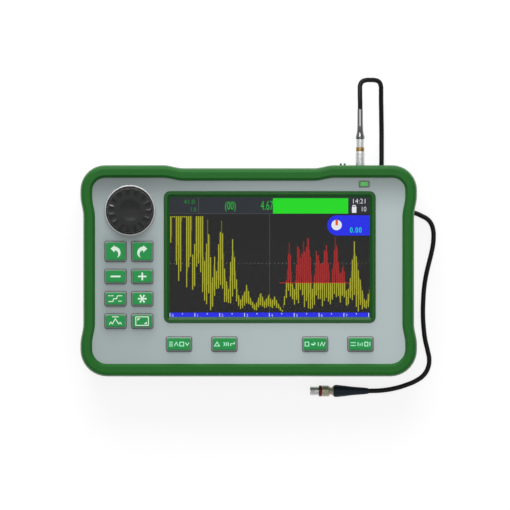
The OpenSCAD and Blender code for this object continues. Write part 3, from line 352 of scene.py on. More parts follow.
def board_paint():
    """Green circuit board with fine tracks."""
    paint = Paint("board")
    tracks = paint.node("ShaderNodeTexBrick", {"offset": 0.37},
                        {"Vector": paint.place(), "Scale": 420.0, "Mortar Size": 0.03,
                         "Color1": (0.012, 0.10, 0.035, 1), "Color2": (0.010, 0.08, 0.03, 1),
                         "Mortar": (0.03, 0.2, 0.08, 1)}, "Color")
    return paint.set(Base_Color=tracks, Roughness=0.35 + 0.1 * paint.noise(200))


def window_clear():
    """Clear window with a slight green tint, which bends what is behind it only a little."""
    paint = Paint("window_clear")
    tint = paint.mix(paint.noise(120, 2.0), (0.97, 0.985, 0.98, 1), (0.99, 0.995, 0.99, 1))
    return paint.set(Base_Color=tint, Roughness=0.0, Transmission_Weight=1.0, IOR=1.08)


def lit_lens():
    """Green lens of the status light, lit from behind."""
    paint = Paint("light_green")
    cast = paint.mix(paint.noise(300, 1.0), shade(tone(64, 158, 66)), shade(tone(84, 178, 82)))
    return paint.set(Base_Color=shade(tone(60, 140, 60)), Roughness=0.25, Emission_Color=cast,
                     Emission_Strength=0.45)


# Colours of the picture on the screen, 0 to 255 a channel
INKS = {
    "black": (46, 46, 46), "slate": (53, 56, 61), "line": (92, 94, 98), "dot": (118, 118, 120),
    "green": (46, 218, 46), "figure": (42, 190, 62), "dim": (38, 136, 56), "blue": (48, 54, 232),
    "white": (232, 234, 238), "pale": (188, 192, 240), "red": (196, 50, 48), "orange": (220, 84, 40),
    "cyan": (44, 236, 170),
}
MATERIALS = {}


def make_materials():
    """Makes every finish, by name."""
    picked = colours()
    # Colour, roughness, scale of the grain, its depth in m, its strength, change of colour, gloss
    plastics = {
        "bumper_rubber": (picked.bumper, 0.45, 4200, 0.00001, 0.2, 0.04, 0.24),
        "case_plastic": (picked.panel, 0.5, PANEL_GRAIN, 0.00002, 0.3, 0.03),
        "rim_plastic": (picked.rim, 0.26, 4200, 0.000006, 0.15, 0.04, 0.34),
        "key_plastic": (picked.key, 0.45, 1800, 0.00002, 0.25, 0.04),
        "key_side": (tone(150, 156, 152), 0.45, 1800, 0.00002, 0.25, 0.05),
        "icon_print": (picked.icon, 0.55, 1800, 0.00001, 0.2, 0.03),
        "soft_print": (picked.soft_icon, 0.55, 1800, 0.00001, 0.2, 0.03),
        "mark_paint": (tone(196, 198, 198), 0.5, 1800, 0.00001, 0.2, 0.03),
        "knob_black": (picked.knob, 0.3, 3600, 0.000006, 0.15, 0.06, 0.33),
        "ring_red": (tone(122, 40, 40), 0.4, 1800, 0.00002, 0.3, 0.1),
        "black_rubber": (tone(26, 26, 28), 0.42, 1500, 0.00002, 0.3, 0.1),
        "lead_jacket": (tone(20, 20, 21), 0.34, 900, 0.00003, 0.3, 0.1),
        "boot_navy": (tone(30, 41, 53), 0.48, 1500, 0.00002, 0.3, 0.1),
        "white_insulator": (tone(228, 228, 224), 0.4, 1200, 0.00002, 0.2, 0.04),
        "silicone": (tone(205, 205, 198), 0.6),
        "battery_wrap": (tone(42, 58, 104), 0.3, 700, 0.00003, 0.3, 0.08),
        "light_frame": (tone(104, 116, 107), 0.5, 1800, 0.00002, 0.3, 0.05),
        "port_black": (tone(34, 34, 36), 0.45),
        "display": (tone(40, 40, 42), 0.3, 1200, 0.00001, 0.2, 0.04),
    }
    # Colour, roughness, stretch of the marks, their scale, change of colour, share of bare metal
    metals = {
        "collar_metal": ((0.62, 0.62, 0.62), 0.5),
        "steel": ((0.5, 0.5, 0.5), 0.35, (1, 8, 1)),
        "plug_metal": ((0.72, 0.72, 0.73), 0.3, (1, 6, 1), 900, 0.03, 0.65),
        "brass_ring": ((0.42, 0.26, 0.1), 0.34, (1, 6, 1)),
        "old_nickel": ((0.5, 0.46, 0.34), 0.36, (6, 1, 1), 900, 0.04, 0.55),
        "contact_brass": ((0.72, 0.52, 0.2), 0.25),
    }
    made = {name: moulded(name, *values) for name, values in plastics.items()}
    made.update({name: metal(name, *values) for name, values in metals.items()})
    made.update({ink: glow(ink, tone(*levels)) for ink, levels in INKS.items()})
    made.update(boot_gloss=moulded("boot_gloss", tone(18, 18, 20), 0.2, 2400, 0.000002, 0.1, 0.1, 0.8,
                                   Coat_Weight=1.0, Coat_IOR=2.2),
                panel_plastic=panel_plastic(), window_clear=window_clear(), board=board_paint(),
                light_green=lit_lens(), trace_light=trace_light())
    MATERIALS.update(made)


def finish(name):
    """A finish by its name. The first that is asked for has them all made."""
    if not MATERIALS:
        make_materials()
    return MATERIALS[name]


# Modelling helpers


def alone(obj=None):
    """Object mode, with only this object selected."""
    if bpy.context.object is not None and bpy.context.object.mode != "OBJECT":
        bpy.ops.object.mode_set(mode="OBJECT")
    bpy.ops.object.select_all(action="DESELECT")
    bpy.context.view_layer.objects.active = obj
    if obj is not None:
        obj.select_set(True)


def edit(obj, mode="FACE", everything=False):
    """Edit mode on this object alone, with all of it selected or nothing."""
    alone(obj)
    bpy.ops.object.mode_set(mode="EDIT")
    bpy.ops.mesh.select_mode(type=mode)
    bpy.ops.mesh.select_all(action="SELECT" if everything else "DESELECT")


def pick(obj, test):
    """Selects the faces that the test wants, and leaves the object in edit mode."""
    bpy.ops.object.mode_set(mode="OBJECT")
    for face in obj.data.polygons:
        face.select = bool(test(face))
    bpy.ops.object.mode_set(mode="EDIT")


def modify(obj, kind, **values):
    """Adds a modifier and applies it."""
    alone(obj)
    made = obj.modifiers.new(kind.lower(), kind)
    for name, value in values.items():
        setattr(made, name, value)
    bpy.ops.object.modifier_apply(modifier=made.name)


def rounded(obj, width, steps=2, angle=32):
    """Rounds the sharp edges, width in mm, smooths the rest and keeps the shading of large faces flat."""
    if width:
        modify(obj, "BEVEL", width=width * MM, segments=steps, limit_method="ANGLE",
               angle_limit=math.radians(angle), harden_normals=False, use_clamp_overlap=True)
    alone(obj)
    bpy.ops.object.shade_smooth_by_angle(angle=math.radians(angle))
    modify(obj, "WEIGHTED_NORMAL", mode="FACE_AREA", keep_sharp=True)


def coloured(obj, *names):
    """Gives an object these finishes in place of its own."""
    obj.data.materials.clear()
    for name in names:
        obj.data.materials.append(finish(name))
    return obj


def done(obj, name, body, replaces=None):
    """Names a finished piece, applies its place and puts it on its body."""
    alone(obj)
    bpy.ops.object.transform_apply()
    obj.name = obj.data.name = name
    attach(obj, body)
    if replaces:
        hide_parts(replaces)
    return obj


def body_of(node):
    return frame["nodes"][node]["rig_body"]


def middle_of(node):
    """Middle of a CAD node's box, in mm."""
    low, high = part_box(node)
    return (low + high) / 2 / MM


def top_of(node):
    """Highest point of a CAD node, in mm."""
    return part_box(node)[1].z / MM


# Corners of a CAD node that are one, in m, and the angle in degrees under which its faces are one
SAME_CORNER = 0.000004
SAME_FACE = 0.4


def taken(node):
    """A copy of a CAD node, merged, with its flat faces whole again."""
    mesh = frame["nodes"][node].data.copy()
    obj = bpy.data.objects.new(node + "_dress", mesh)
    bpy.context.scene.collection.objects.link(obj)
    mesh.materials.clear()
    edit(obj, "VERT", True)
    bpy.ops.mesh.remove_doubles(threshold=SAME_CORNER)
    bpy.ops.mesh.dissolve_limited(angle_limit=math.radians(SAME_FACE))
    bpy.ops.object.mode_set(mode="OBJECT")
    return obj


def dressed(node, name, material, edge, steps=2, angle=32, slot=None):
    """A CAD node's own shape with softened edges, which stands for the node. Its slot argument is not used."""
    obj = taken(node)
    rounded(obj, edge, steps, angle)
    return done(coloured(obj, material), name, body_of(node), node)


def joined(parts):
    """One object of all the parts, named by the first."""
    alone(parts[0])
    for part in parts:
        part.select_set(True)
    bpy.ops.object.join()
    return bpy.context.object


# Turns of an axis that stands up, to lie along +Y or -X
TURNS = {"y": Matrix.Rotation(-math.pi / 2, 4, "X"), "-x": Matrix.Rotation(-math.pi / 2, 4, "Y")}
ROUND_SIDES, DISC_SIDES = 48, 32


def turned(profile, origin, along):
    """A solid of revolution: a disc drawn out and widened from one [distance, radius] to the next, in mm."""
    (start, radius), rest = profile[0], profile[1:]
    alone()
    bpy.ops.mesh.primitive_circle_add(vertices=ROUND_SIDES, radius=radius * MM, fill_type="NGON",
                                      location=(0, 0, start * MM))
    obj = bpy.context.object
    bpy.ops.object.transform_apply()
    edit(obj, "FACE", True)
    for distance, wide in rest:
        bpy.ops.mesh.extrude_region_move(TRANSFORM_OT_translate={"value": (0, 0, (distance - start) * MM)})
        bpy.ops.transform.resize(value=(wide / radius, wide / radius, 1),
                                 center_override=(0, 0, distance * MM))
        start, radius = distance, wide
    bpy.ops.mesh.select_all(action="SELECT")
    bpy.ops.mesh.normals_make_consistent(inside=False)
    bpy.ops.object.mode_set(mode="OBJECT")
    obj.matrix_world = Matrix.Translation(Vector(origin) * MM) @ TURNS[along]
    alone(obj)
    bpy.ops.object.transform_apply()
    return obj


def drawn(lines, z, dimensions, closed):
    """A curve with a straight-sided spline through each line of points, in mm, at height z."""
    alone()
    bpy.ops.curve.primitive_nurbs_path_add()
    obj = bpy.context.object
    obj.location = (0, 0, z * MM)
    obj.data.splines.clear()
    obj.data.dimensions = dimensions
    for line in lines:
        spline = obj.data.splines.new("POLY")
        spline.points.add(len(line) - 1)
        for point, (x, y) in zip(spline.points, line):
            point.co = (x * MM, y * MM, 0, 1)
        spline.use_cyclic_u = closed
    return obj


def meshed():
    """Makes the curve or text in hand a mesh, and then applies its place."""
    bpy.ops.object.convert(target="MESH")
    bpy.ops.object.transform_apply()
    return bpy.context.object


def stroke(line, radius, z):
    """A round stroke through points in mm, half sunk at height z."""
    data = drawn([line], z, "3D", False).data
    data.bevel_depth = radius * MM
    data.bevel_resolution = 1
    data.use_fill_caps = True
    return meshed()


def flat_shapes(outlines, z, thick):
    """Filled outlines in mm, raised by a thickness from height z."""
    data = drawn(outlines, z + thick / 2, "2D", True).data
    data.fill_mode = "BOTH"
    data.extrude = thick / 2 * MM
    return meshed()


# Route of the lead, with the points that the CAD source gives its tube, in mm
ROUTE = [
    (69.2, 100.4, 27), (69.2, 104, 27), (69.1, 108, 26.5), (69.1, 112, 25.6), (69.2, 115.1, 24.7),
    (70.3, 117.3, 23.7), (72.5, 118.3, 22.3), (75.6, 118.5, 20.3), (78.7, 118.3, 18.1), (80.9, 117.3, 16.3),
    (82, 115.1, 14.6), (82.2, 111.6, 12.4), (82.2, 107, 9.7), (82.3, 101, 6.5), (82.4, 94, 3.8),
    (82.5, 86, 2.1), (82.5, 78, 1.5), (82.5, 70, 1.5), (82.4, 62, 1.5), (82.3, 54, 1.5), (82.7, 48, 1.5),
    (84.2, 43, 1.5), (87.5, 39.2, 1.5), (92, 37.3, 1.5), (98, 36.8, 1.5), (103.4, 35.8, 1.5),
    (107.6, 34, 1.5), (111.2, 31.9, 1.5), (113.4, 29, 1.5), (114.6, 25, 1.5), (114.8, 20.8, 1.5),
    (114.4, 16, 1.5), (113.2, 10, 1.5), (111.7, 4, 1.5), (110.2, -2.5, 1.5), (109, -10, 1.5),
    (108.4, -18, 1.5), (108.2, -27, 1.5), (108.7, -36, 1.5), (109.6, -43, 1.5), (111.2, -49.8, 1.5),
    (112.1, -55, 1.5), (111.4, -60, 1.5), (108.8, -64.6, 1.5), (104, -68.2, 1.6), (98, -70.8, 2),
    (90.6, -73, 2.7), (82.4, -74.3, 3.5), (74.5, -74.6, 3.8)]
LEAD_WIDTH = 3.0
LEAD_STEPS = 5  # steps from one point of the lead to the next, and round a quarter of it


class TESTER_OT_camera(Operator):
    """Sets the camera straight above the case, as in the photograph"""
    bl_idname = "tester.camera"
    bl_label = "Camera"

    def execute(self, context):
        alone()
        middle = PICTURE_WIDTH / 2
        bpy.ops.object.camera_add(location=spot(middle, middle, CAMERA_HEIGHT), rotation=(0, 0, 0))
        camera = context.object
        camera.name = "view_camera"
        camera.data.type = "ORTHO"
        camera.data.ortho_scale = PICTURE_WIDTH * PIXEL * MM
        camera.data.clip_end = CAMERA_REACH
        context.scene.camera = camera
        context.scene.view_settings.view_transform = "Standard"
        return {"FINISHED"}


class TESTER_OT_lead(Operator):
    """Builds the coaxial lead, its boots and both plugs"""
    bl_idname = "tester.lead"
    bl_label = "Lead and plugs"

    def execute(self, context):
        alone()
        bpy.ops.curve.primitive_bezier_curve_add()
        lead = context.object
        lead.location = (0, 0, 0)
        lead.data.splines.clear()
        spline = lead.data.splines.new("BEZIER")
        spline.bezier_points.add(len(ROUTE) - 1)
        for point, at in zip(spline.bezier_points, ROUTE):
            point.co = Vector(at) * MM
            point.handle_left_type = point.handle_right_type = "AUTO"
        spline.resolution_u = lead.data.bevel_resolution = LEAD_STEPS
        lead.data.bevel_depth = LEAD_WIDTH / 2 * MM
        lead.data.use_fill_caps = True
        lead.name = lead.data.name = "probe_lead"
        coloured(lead, "lead_jacket")
        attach(lead, CASE)
        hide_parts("lead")
        pieces = self.top_end() + self.free_end()
        return {"FINISHED"}

    def part(self, node, name, material, profile, edge, steps=2, slot=None):
        """A turned piece of a plug, which stands for its CAD node."""
        obj = turned(profile, *self.axis)
        rounded(obj, edge, steps)
        return done(coloured(obj, material), name, CASE, node)

    def top_end(self):
        """The plug in the socket, along Y: its distances are the places on the part."""
        x, end, z = ROUTE[0]
        self.axis = (x, 0, z), "y"
        start, mouth, ring, tail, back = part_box("top_plug")[0].y / MM, 64.8, 74.0, 76.7, 81.9
        shell = [(start, 2.0), (mouth, 2.1), (mouth, 2.6), (mouth + 0.4, 2.75), (71.4, 2.75), (71.5, 2.66),
                 (71.8, 2.66), (71.9, 2.75), (ring - 0.3, 2.75), (ring, 2.5), (tail, 2.2), (tail, 2.3),
                 (tail + 0.2, 2.4), (back - 0.2, 2.4), (back, 2.25)]
        band = [(ring + 0.05, 2.3), (ring + 0.05, 2.45), (ring + 0.3, 2.6), (75.1, 2.6), (75.35, 2.5),
                (75.6, 2.6), (tail - 0.3, 2.6), (tail - 0.05, 2.45), (tail - 0.05, 2.3)]
        boot = [(back, 2.2), (back, 2.6), (back + 0.25, 2.82), (back + 0.9, 2.83), (back + 1.7, 2.68),
                (back + 3.1, 2.3), (back + 4.6, 2.02), (back + 6.3, 1.88), (back + 9, 1.8),
                (back + 13, 1.76), (end - 0.4, 1.73), (end, 1.66), (end, 1.52)]
        return [self.part("top_plug", "plug_shell", "plug_metal", shell, 0.06),
                self.part("top_plug_ring", "plug_ring", "brass_ring", band, 0.05),
                self.part("top_boot", "plug_boot", "boot_gloss", boot, 0.12, 3, "black_rubber")]

    def free_end(self):
        """The free plug, along -X: its distances start at the end of the lead."""
        self.axis = ROUTE[-1], "-x"
        boot = [(0, 1.52), (0, 1.66), (0.3, 1.76), (2.6, 2.1), (7.0, 2.42), (10.9, 2.76), (15.0, 3.3),
                (17.9, 3.6), (19.4, 3.76), (20.5, 3.8), (21.2, 3.68), (21.8, 3.3), (21.8, 2.9)]
        shell = [(21.8, 2.0), (21.8, 3.0), (22.05, 3.1), (22.5, 2.8), (23.2, 2.2), (23.7, 2.2),
                 (24.4, 2.9), (25.1, 3.4), (26.0, 3.4), (26.1, 3.28), (26.35, 3.28), (26.45, 3.4),
                 (28.6, 3.4), (28.95, 3.3), (28.95, 2.2), (31.0, 2.2)]
        ring = [(29.05, 2.25), (29.05, 3.2), (29.25, 3.4), (30.7, 3.4), (30.95, 3.2), (30.95, 2.25)]
        return [self.part("end_boot", "free_plug_boot", "boot_navy", boot, 0.15, 3),
                self.part("end_plug", "free_plug_shell", "old_nickel", shell, 0.06),
                self.part("end_plug_ring", "free_plug_ring", "ring_red", ring, 0.06),
                dressed("end_plug_sleeve", "free_plug_sleeve", "plug_metal", 0.1),
                dressed("end_plug_insert", "free_plug_insert", "white_insulator", 0.08)]


class TESTER_OT_case(Operator):
    """Dresses the bumper and the two shells"""
    bl_idname = "tester.case"
    bl_label = "Bumper and case"

    def execute(self, context):
        dressed("bumper", "bumper_cover", "bumper_rubber", edge=0, angle=30)
        dressed("front_shell", "front_panel", "panel_plastic", edge=0, angle=30, slot="case_plastic")
        dressed("rear_shell", "rear_case", "case_plastic", edge=0, angle=30)
        return {"FINISHED"}


class TESTER_OT_screen(Operator):
    """Dresses the screen's rim and window"""
    bl_idname = "tester.screen"
    bl_label = "Screen rim"

    def execute(self, context):
        dressed("screen_frame", "screen_rim", "rim_plastic", 0.12, angle=20)
        dressed("screen_window", "screen_glass", "window_clear", 0.1)
        return {"FINISHED"}


# The screen's picture lies in layers on the display, in mm: the first is this far over it, and the next
# ones are a film apart
PICTURE_LIFT = 0.02
FILM = 0.03
FIGURE_HEIGHT = 0.7  # share of the font's size that a figure is tall


def layer(number):
    """Height of a layer of the picture, in mm."""
    return top_of("lcd_cell") + PICTURE_LIFT + number * FILM


def text(words, x, y, height, number, ink, narrow=1.0, thin=0.0, apart=1.0):
    """Figures on the screen, from font to mesh, at a place in pixels of the photograph."""
    alone()
    bpy.ops.object.text_add(location=spot(x, y, layer(number)))
    obj = bpy.context.object
    obj.scale = (narrow, 1, 1)
    obj.data.body = words
    obj.data.size = height * MM / FIGURE_HEIGHT
    obj.data.align_x = obj.data.align_y = "CENTER"
    obj.data.offset = -thin * MM
    obj.data.space_character = apart
    return coloured(meshed(), ink)


def tile(left, top, right, low, number, ink):
    """A flat patch of the picture, between pixels of the photograph."""
    alone()
    middle = spot((left + right) / 2, (top + low) / 2, layer(number))
    bpy.ops.mesh.primitive_plane_add(size=1, location=middle)
    obj = bpy.context.object
    obj.scale = ((right - left) * PIXEL * MM, (low - top) * PIXEL * MM, 1)
    bpy.ops.object.transform_apply()
    return coloured(obj, ink)


def disc(x, y, radius, number, ink):
    """A flat round patch of the picture, its middle and radius in pixels of the photograph."""
    alone()
    bpy.ops.mesh.primitive_circle_add(vertices=DISC_SIDES, radius=radius * PIXEL * MM, fill_type="NGON",
                                      location=spot(x, y, layer(number)))
    bpy.ops.object.transform_apply()
    return coloured(bpy.context.object, ink)


# Outline of the signal, given in pixels of the photograph: place, upper edge, lower edge
SIGNAL = [
    (170.2, 216, 243), (172.2, 216, 243), (172.3, 216, 217.4), (175.4, 216, 217.4), (175.5, 216, 279),
    (177.5, 216, 255), (179.2, 216, 288), (181.6, 216, 252), (181.7, 216, 217.4), (186.3, 216, 217.4),
    (186.4, 216, 293), (188.6, 216, 262), (190.0, 216, 268), (191.8, 216, 236), (192.2, 252, 288),
    (193.9, 254, 299), (194.8, 240, 281), (195.0, 216, 278), (199.0, 216, 257), (202.6, 216, 287),
    (203.6, 252, 292), (205.4, 257, 305), (207.9, 217, 296), (209.4, 232, 300), (211.8, 284, 310),
    (214.5, 256, 298), (216.2, 277, 287), (219.0, 238, 294), (221.3, 219, 284), (223.0, 238, 286),
    (225.0, 276, 302), (228.5, 288, 303), (230.6, 262, 300), (232.7, 237.5, 292), (235.2, 264, 293),
    (238.0, 294, 306), (241.0, 300, 309), (246.9, 284.6, 302), (250.0, 297, 305), (255.4, 306, 311.5),
    (261.2, 290.5, 306), (264.0, 301, 309), (269.3, 293.5, 306), (271.5, 300, 309), (274.8, 296.5, 306),
    (282.4, 310.8, 312), (286.2, 284, 297), (289.3, 239.5, 294), (292.6, 284, 299), (294.6, 290, 305),
    (297.7, 241.5, 304), (300.6, 256, 289), (303.6, 242.5, 298), (306.0, 248, 306), (308.8, 233.7, 300),
    (312.6, 290, 309.5), (316.7, 249.7, 294), (321.2, 263, 303), (327.0, 241.3, 298), (330.8, 286, 307),
    (335.7, 232.6, 294), (339.6, 272, 300), (343.8, 264.6, 297), (347.2, 296, 308), (350.4, 276, 298),
    (354.5, 240, 300), (358.4, 268, 307), (361.6, 286, 307), (365.6, 303, 309), (369.8, 288, 305)]
SIGNAL_TOP, SIGNAL_LOW = 216.2, 311.8
EVEN_BELOW, SHORTEST_BAR = 5, 1.2


# Edges of the picture and of its bars, in pixels of the photograph
LEFT, RIGHT, TOP, LOW = 168.6, 371.0, 195.4, 319.2
HEAD_LOW = 213.6
RULER_TOP, RULER_LOW = 312.6, 318.4
# Patches of the picture: left, top, right and lower edge, layer and ink
PATCHES = [
    (LEFT, TOP, RIGHT, LOW, 0, "black"),
    (LEFT, TOP, RIGHT, HEAD_LOW, 1, "slate"),
    (273.0, 198.2, 348.2, HEAD_LOW, 2, "green"),
    (LEFT, RULER_TOP, RIGHT, RULER_LOW, 1, "blue"),
    (198.4, 197.5, 198.8, 213.0, 2, "line"),
    (LEFT, HEAD_LOW, 273.0, 213.9, 2, "line"),
    (169.2, 216.0, 169.7, 312.0, 1, "line"),
    (369.9, 236.0, 370.4, 312.0, 1, "line"),
    (LEFT, 318.6, RIGHT, LOW, 1, "white"),
    (279.4, 282.5, 349.6, 283.1, 3.4, "red")]
BATTERY = [
    (351.9, 206.9, 356.4, 212.8, 2, "white"),
    (352.9, 205.0, 355.4, 205.9, 2, "white"),
    (352.3, 205.5, 353.2, 207.2, 2.2, "white"),
    (355.1, 205.5, 356.0, 207.2, 2.2, "white")]
# Figures: words, middle, height in mm, layer, ink, width against height, thinning of the strokes in mm
FIGURES = [
    ("14:21", 359.2, 201.4, 3.0, 2, "white", 0.98, 0.04),
    ("10", 363.6, 209.3, 3.0, 2, "white", 0.84, 0.04),
    ("4.67", 267.0, 205.9, 5.6, 2, "figure", 0.58, 0.05),
    ("(00)", 230.4, 206.0, 4.9, 2, "figure", 0.62, 0.03),
    ("41.0", 189.3, 202.0, 2.6, 2, "dim", 1.1),
    ("1.0", 193.2, 209.6, 2.6, 2, "dim", 0.85)]
# The tag at the upper right: its round end, and its edges beyond that
TAG_X, TAG_Y, TAG_RADIUS = 337.2, 225.4, 10.1
TAG_TOP, TAG_LOW = 215.3, 235.5
# The upright and the level dotted line: where they run, where their dots start, and the size of a dot
UPRIGHT_X, LEVEL_Y = 269.2, 263.0
UPRIGHT_DOTS, LEVEL_DOTS = range(215, 312, 2), range(170, 370, 4)
DOT, LEVEL_DOT = 0.8, 0.9
# The ruler: its first mark, a step, its marks, and where they start and end
RULER_START, RULER_STEP, RULER_MARKS = 170.9, 12.42, 17
MARK_TOP, LONG_MARK, SHORT_MARK = 313.0, 316.8, 314.4


def signal_step():
    """Width of a bar of the signal, in pixels of the photograph."""
    return (SIGNAL[-1][0] - SIGNAL[0][0]) / sizes().bars


class TESTER_OT_picture(Operator):
    """Builds the picture on the screen: bars, ruler, gate and signal"""
    bl_idname = "tester.picture"
    bl_label = "Screen picture"

    def execute(self, context):
        parts = [tile(*patch) for patch in PATCHES] + self.dots() + self.tag()
        parts += [tile(*patch) for patch in BATTERY] + [text(*figure) for figure in FIGURES] + self.ruler()
        done(joined(parts), "screen_picture", CASE)
        signal = flat_shapes(self.signal(), layer(1), 2 * FILM)
        done(coloured(signal, "trace_light"), "screen_signal", CASE)
        return {"FINISHED"}

    def dots(self):
        upright = [tile(UPRIGHT_X, y, UPRIGHT_X + DOT, y + DOT, 1, "line") for y in UPRIGHT_DOTS]
        level = [tile(x, LEVEL_Y, x + LEVEL_DOT, LEVEL_Y + DOT, 1, "dot") for x in LEVEL_DOTS]
        return upright + level

    def tag(self):
        """The blue tag, with its dial and its figure."""
        turns = [math.pi * i / 16 for i in range(17)]
        edge = [(TAG_X - TAG_RADIUS * math.sin(turn), TAG_Y + TAG_RADIUS * math.cos(turn)) for turn in turns]
        outline = [(px(x), py(y)) for x, y in edge + [(RIGHT, TAG_TOP), (RIGHT, TAG_LOW)]]
        return [coloured(flat_shapes([outline], layer(2), 0.01), "blue"),
                disc(336.6, 225.0, 5.2, 3, "white"),
                tile(335.5, 219.9, 337.9, TAG_Y, 4, "orange"),
                text("0.00", 355.8, 230.3, 3.2, 3, "cyan", 0.8, 0, 1.2)]

    def ruler(self):
        """Marks a step apart, every other one long and numbered."""
        parts = []
        for i in range(RULER_MARKS):
            x = RULER_START + i * RULER_STEP
            numbered = i % 2 == 0
            parts.append(tile(x - 1.2, MARK_TOP, x - 0.6, LONG_MARK if numbered else SHORT_MARK, 2, "white"))
            if numbered and i < RULER_MARKS - 1:
                parts.append(text(str(i // 2), x + 1.8, 315.6, 1.8, 2, "pale"))
        return parts

    def signal(self):
        """Upright bars between the two edges of the signal, a little uneven."""
        chance = random.Random(11)
        step = signal_step()
        bars = []
        for i in range(sizes().bars):
            x = SIGNAL[0][0] + (i + 0.5) * step
            after = next(j for j, knot in enumerate(SIGNAL) if knot[0] > x)
            (x0, top0, low0), (x1, top1, low1) = SIGNAL[after - 1], SIGNAL[after]
            share = (x - x0) / (x1 - x0)
            top, low = top0 + (top1 - top0) * share, low0 + (low1 - low0) * share
            tall = low - top
            long_bar = i % 2 == 0
            if tall > EVEN_BELOW:
                top += (top > SIGNAL_TOP + 0.1) * chance.uniform(-0.04, 0.14) * tall
                low -= (chance.uniform(-0.12, 0.12) if long_bar else chance.uniform(0.05, 0.4)) * tall
            top, low = max(SIGNAL_TOP, top), min(SIGNAL_LOW, max(low, top + SHORTEST_BAR))
            half = step / 2 * (0.97 if long_bar else 0.85)
            left, right, low, top = px(x - half), px(x + half), py(low), py(top)
            bars.append([(left, low), (right, low), (right, top), (left, top)])
        return bars


MITRE = 0.5  # a stroke's corner reaches out no further than half its width over this


def ribbon(points, half, closed=False):
    """Outlines of a stroke through points, with mitred corners."""
    points = [Vector(p) for p in points]
    sides = ([], [])
    last = len(points) - 1
    for i, at in enumerate(points):
        before = points[i - 1] if i or closed else at
        after = points[(i + 1) % len(points)] if i < last or closed else at
        ways = [way.normalized() for way in (at - before, after - at) if way.length]
        across = sum(ways, Vector((0, 0))).normalized()
        across = Vector((-across.y, across.x))
        reach = half / max(MITRE, across.dot(Vector((-ways[0].y, ways[0].x))))
        sides[0].append(at + across * reach)
        sides[1].append(at - across * reach)
    return list(sides) if closed else [sides[0] + sides[1][::-1]]


# Key icons in mm from the middle of the key: strokes, closed strokes and filled outlines
BACK_ARROW = [(-3.1, 1.65), (-0.6, 3.75), (-0.55, 2.95), (0.6, 2.73), (1.6, 2.2), (2.5, 1.25), (3.05, 0.0),
              (3.15, -1.4), (2.65, -2.75), (1.7, -3.6), (0.85, -3.9), (1.45, -3.1), (1.75, -2.1),
              (1.6, -1.05), (1.1, -0.05), (0.3, 0.45), (-0.6, 0.5), (-0.65, -0.75)]
PLUS = [(-2.6, -0.48), (-0.48, -0.48), (-0.48, -2.4), (0.48, -2.4), (0.48, -0.48), (2.6, -0.48),
        (2.6, 0.48), (0.48, 0.48), (0.48, 2.4), (-0.48, 2.4), (-0.48, 0.48), (-2.6, 0.48)]
STAR = [(r * math.cos(math.radians(60 * i + a)), r * math.sin(math.radians(60 * i + a)))
        for i in range(6) for a, r in ((-30, 0.62), (-15, 1.9), (-12, 2.75), (12, 2.75), (15, 1.9))]
ICONS = {
    "key_undo": ([], [], [BACK_ARROW]),
    "key_redo": ([], [], [[(-x, y) for x, y in reversed(BACK_ARROW)]]),
    "key_minus": ([], [], [[(-3.1, -0.52), (3.1, -0.52), (3.1, 0.52), (-3.1, 0.52)]]),
    "key_plus": ([], [], [PLUS]),
    "key_gate": ([[(-4.5, 1.85), (-3.3, 1.85)], [(-2.9, 1.85), (-1.3, 1.85)],
                  [(-4.4, -1.75), (-1.7, -1.75), (-1.2, 0), (0.6, 0), (1.2, 1.85), (4.2, 1.85)],
                  [(1.7, -1.5), (3.8, -1.5)]], [], []),
    "key_freeze": ([], [], [STAR]),
    "key_peak": ([[(-2.1, 2.6), (2.0, 2.6)],
                  [(-3.9, -2.2), (-2.95, -0.6), (-2.0, -1.8), (-0.1, 1.35), (1.95, -1.8), (2.9, -0.8),
                   (3.8, -2.2)]], [], []),
    "key_zoom": ([], [[(-4.0, -2.7), (3.8, -2.7), (3.8, 2.6), (-4.0, 2.6)]],
                 [[(-3.0, 1.7), (-3.0, 0.1), (-1.1, 1.7)], [(2.8, -1.9), (2.8, -0.4), (0.9, -1.9)]]),
    "soft_key_1": ([[(-6.2, -1.2), (-3.8, -1.2)], [(-6.2, 0), (-3.8, 0)], [(-6.2, 1.2), (-3.8, 1.2)],
                    [(-2.9, -1.2), (-1.7, 1.2), (-0.5, -1.2)], [(3.9, 1.0), (5.1, -0.8), (6.3, 1.0)]],
                   [[(0.5, -1.2), (2.9, -1.2), (2.9, 1.2), (0.5, 1.2)]], []),
    "soft_key_2": ([[(-0.4, 1.2), (0.3, 0), (-0.4, -1.2)], [(0.9, 1.2), (1.6, 0), (0.9, -1.2)],
                    [(3.9, -1.2), (3.9, 0.2), (6.2, 0.2), (6.2, 1.3)], [(2.4, -1.3), (2.4, 1.3)]],
                   [[(-6.1, -1.2), (-3.0, -1.2), (-4.5, 1.3)]], []),
    "soft_key_3": ([[(-2.6, 0), (0.4, 0)], [(-0.7, 1.2), (0.5, 0), (-0.7, -1.2)], [(2.0, 1.2), (2.0, -1.2)],
                    [(3.2, -1.2), (4.2, 1.2), (5.2, -1.2), (6.2, 1.2)]],
                   [[(-6.2, -1.2), (-3.9, -1.2), (-3.9, 1.2), (-6.2, 1.2)]], []),
    "soft_key_4": ([[(-6.1, 0.9), (-2.9, 0.9)], [(-6.1, -0.9), (-2.9, -0.9)], [(-1.5, -1.2), (-1.5, 1.2)],
                    [(-0.2, -1.2), (-0.2, 0.4)], [(1.1, -1.2), (1.1, 1.0)], [(5.9, 1.3), (5.9, -1.3)]],
                   [[(2.7, -1.2), (4.6, -1.2), (4.6, 1.2), (2.7, 1.2)]], []),
}
# Parts of a key, in mm: how deep its green top goes, the fine step round it, and how deep its icon lies
GREEN_DEPTH = 0.29
STEP_WIDTH, STEP_HEIGHT = 0.1, 0.06
ICON_SUNK, ICON_THICK = 0.2, 0.3
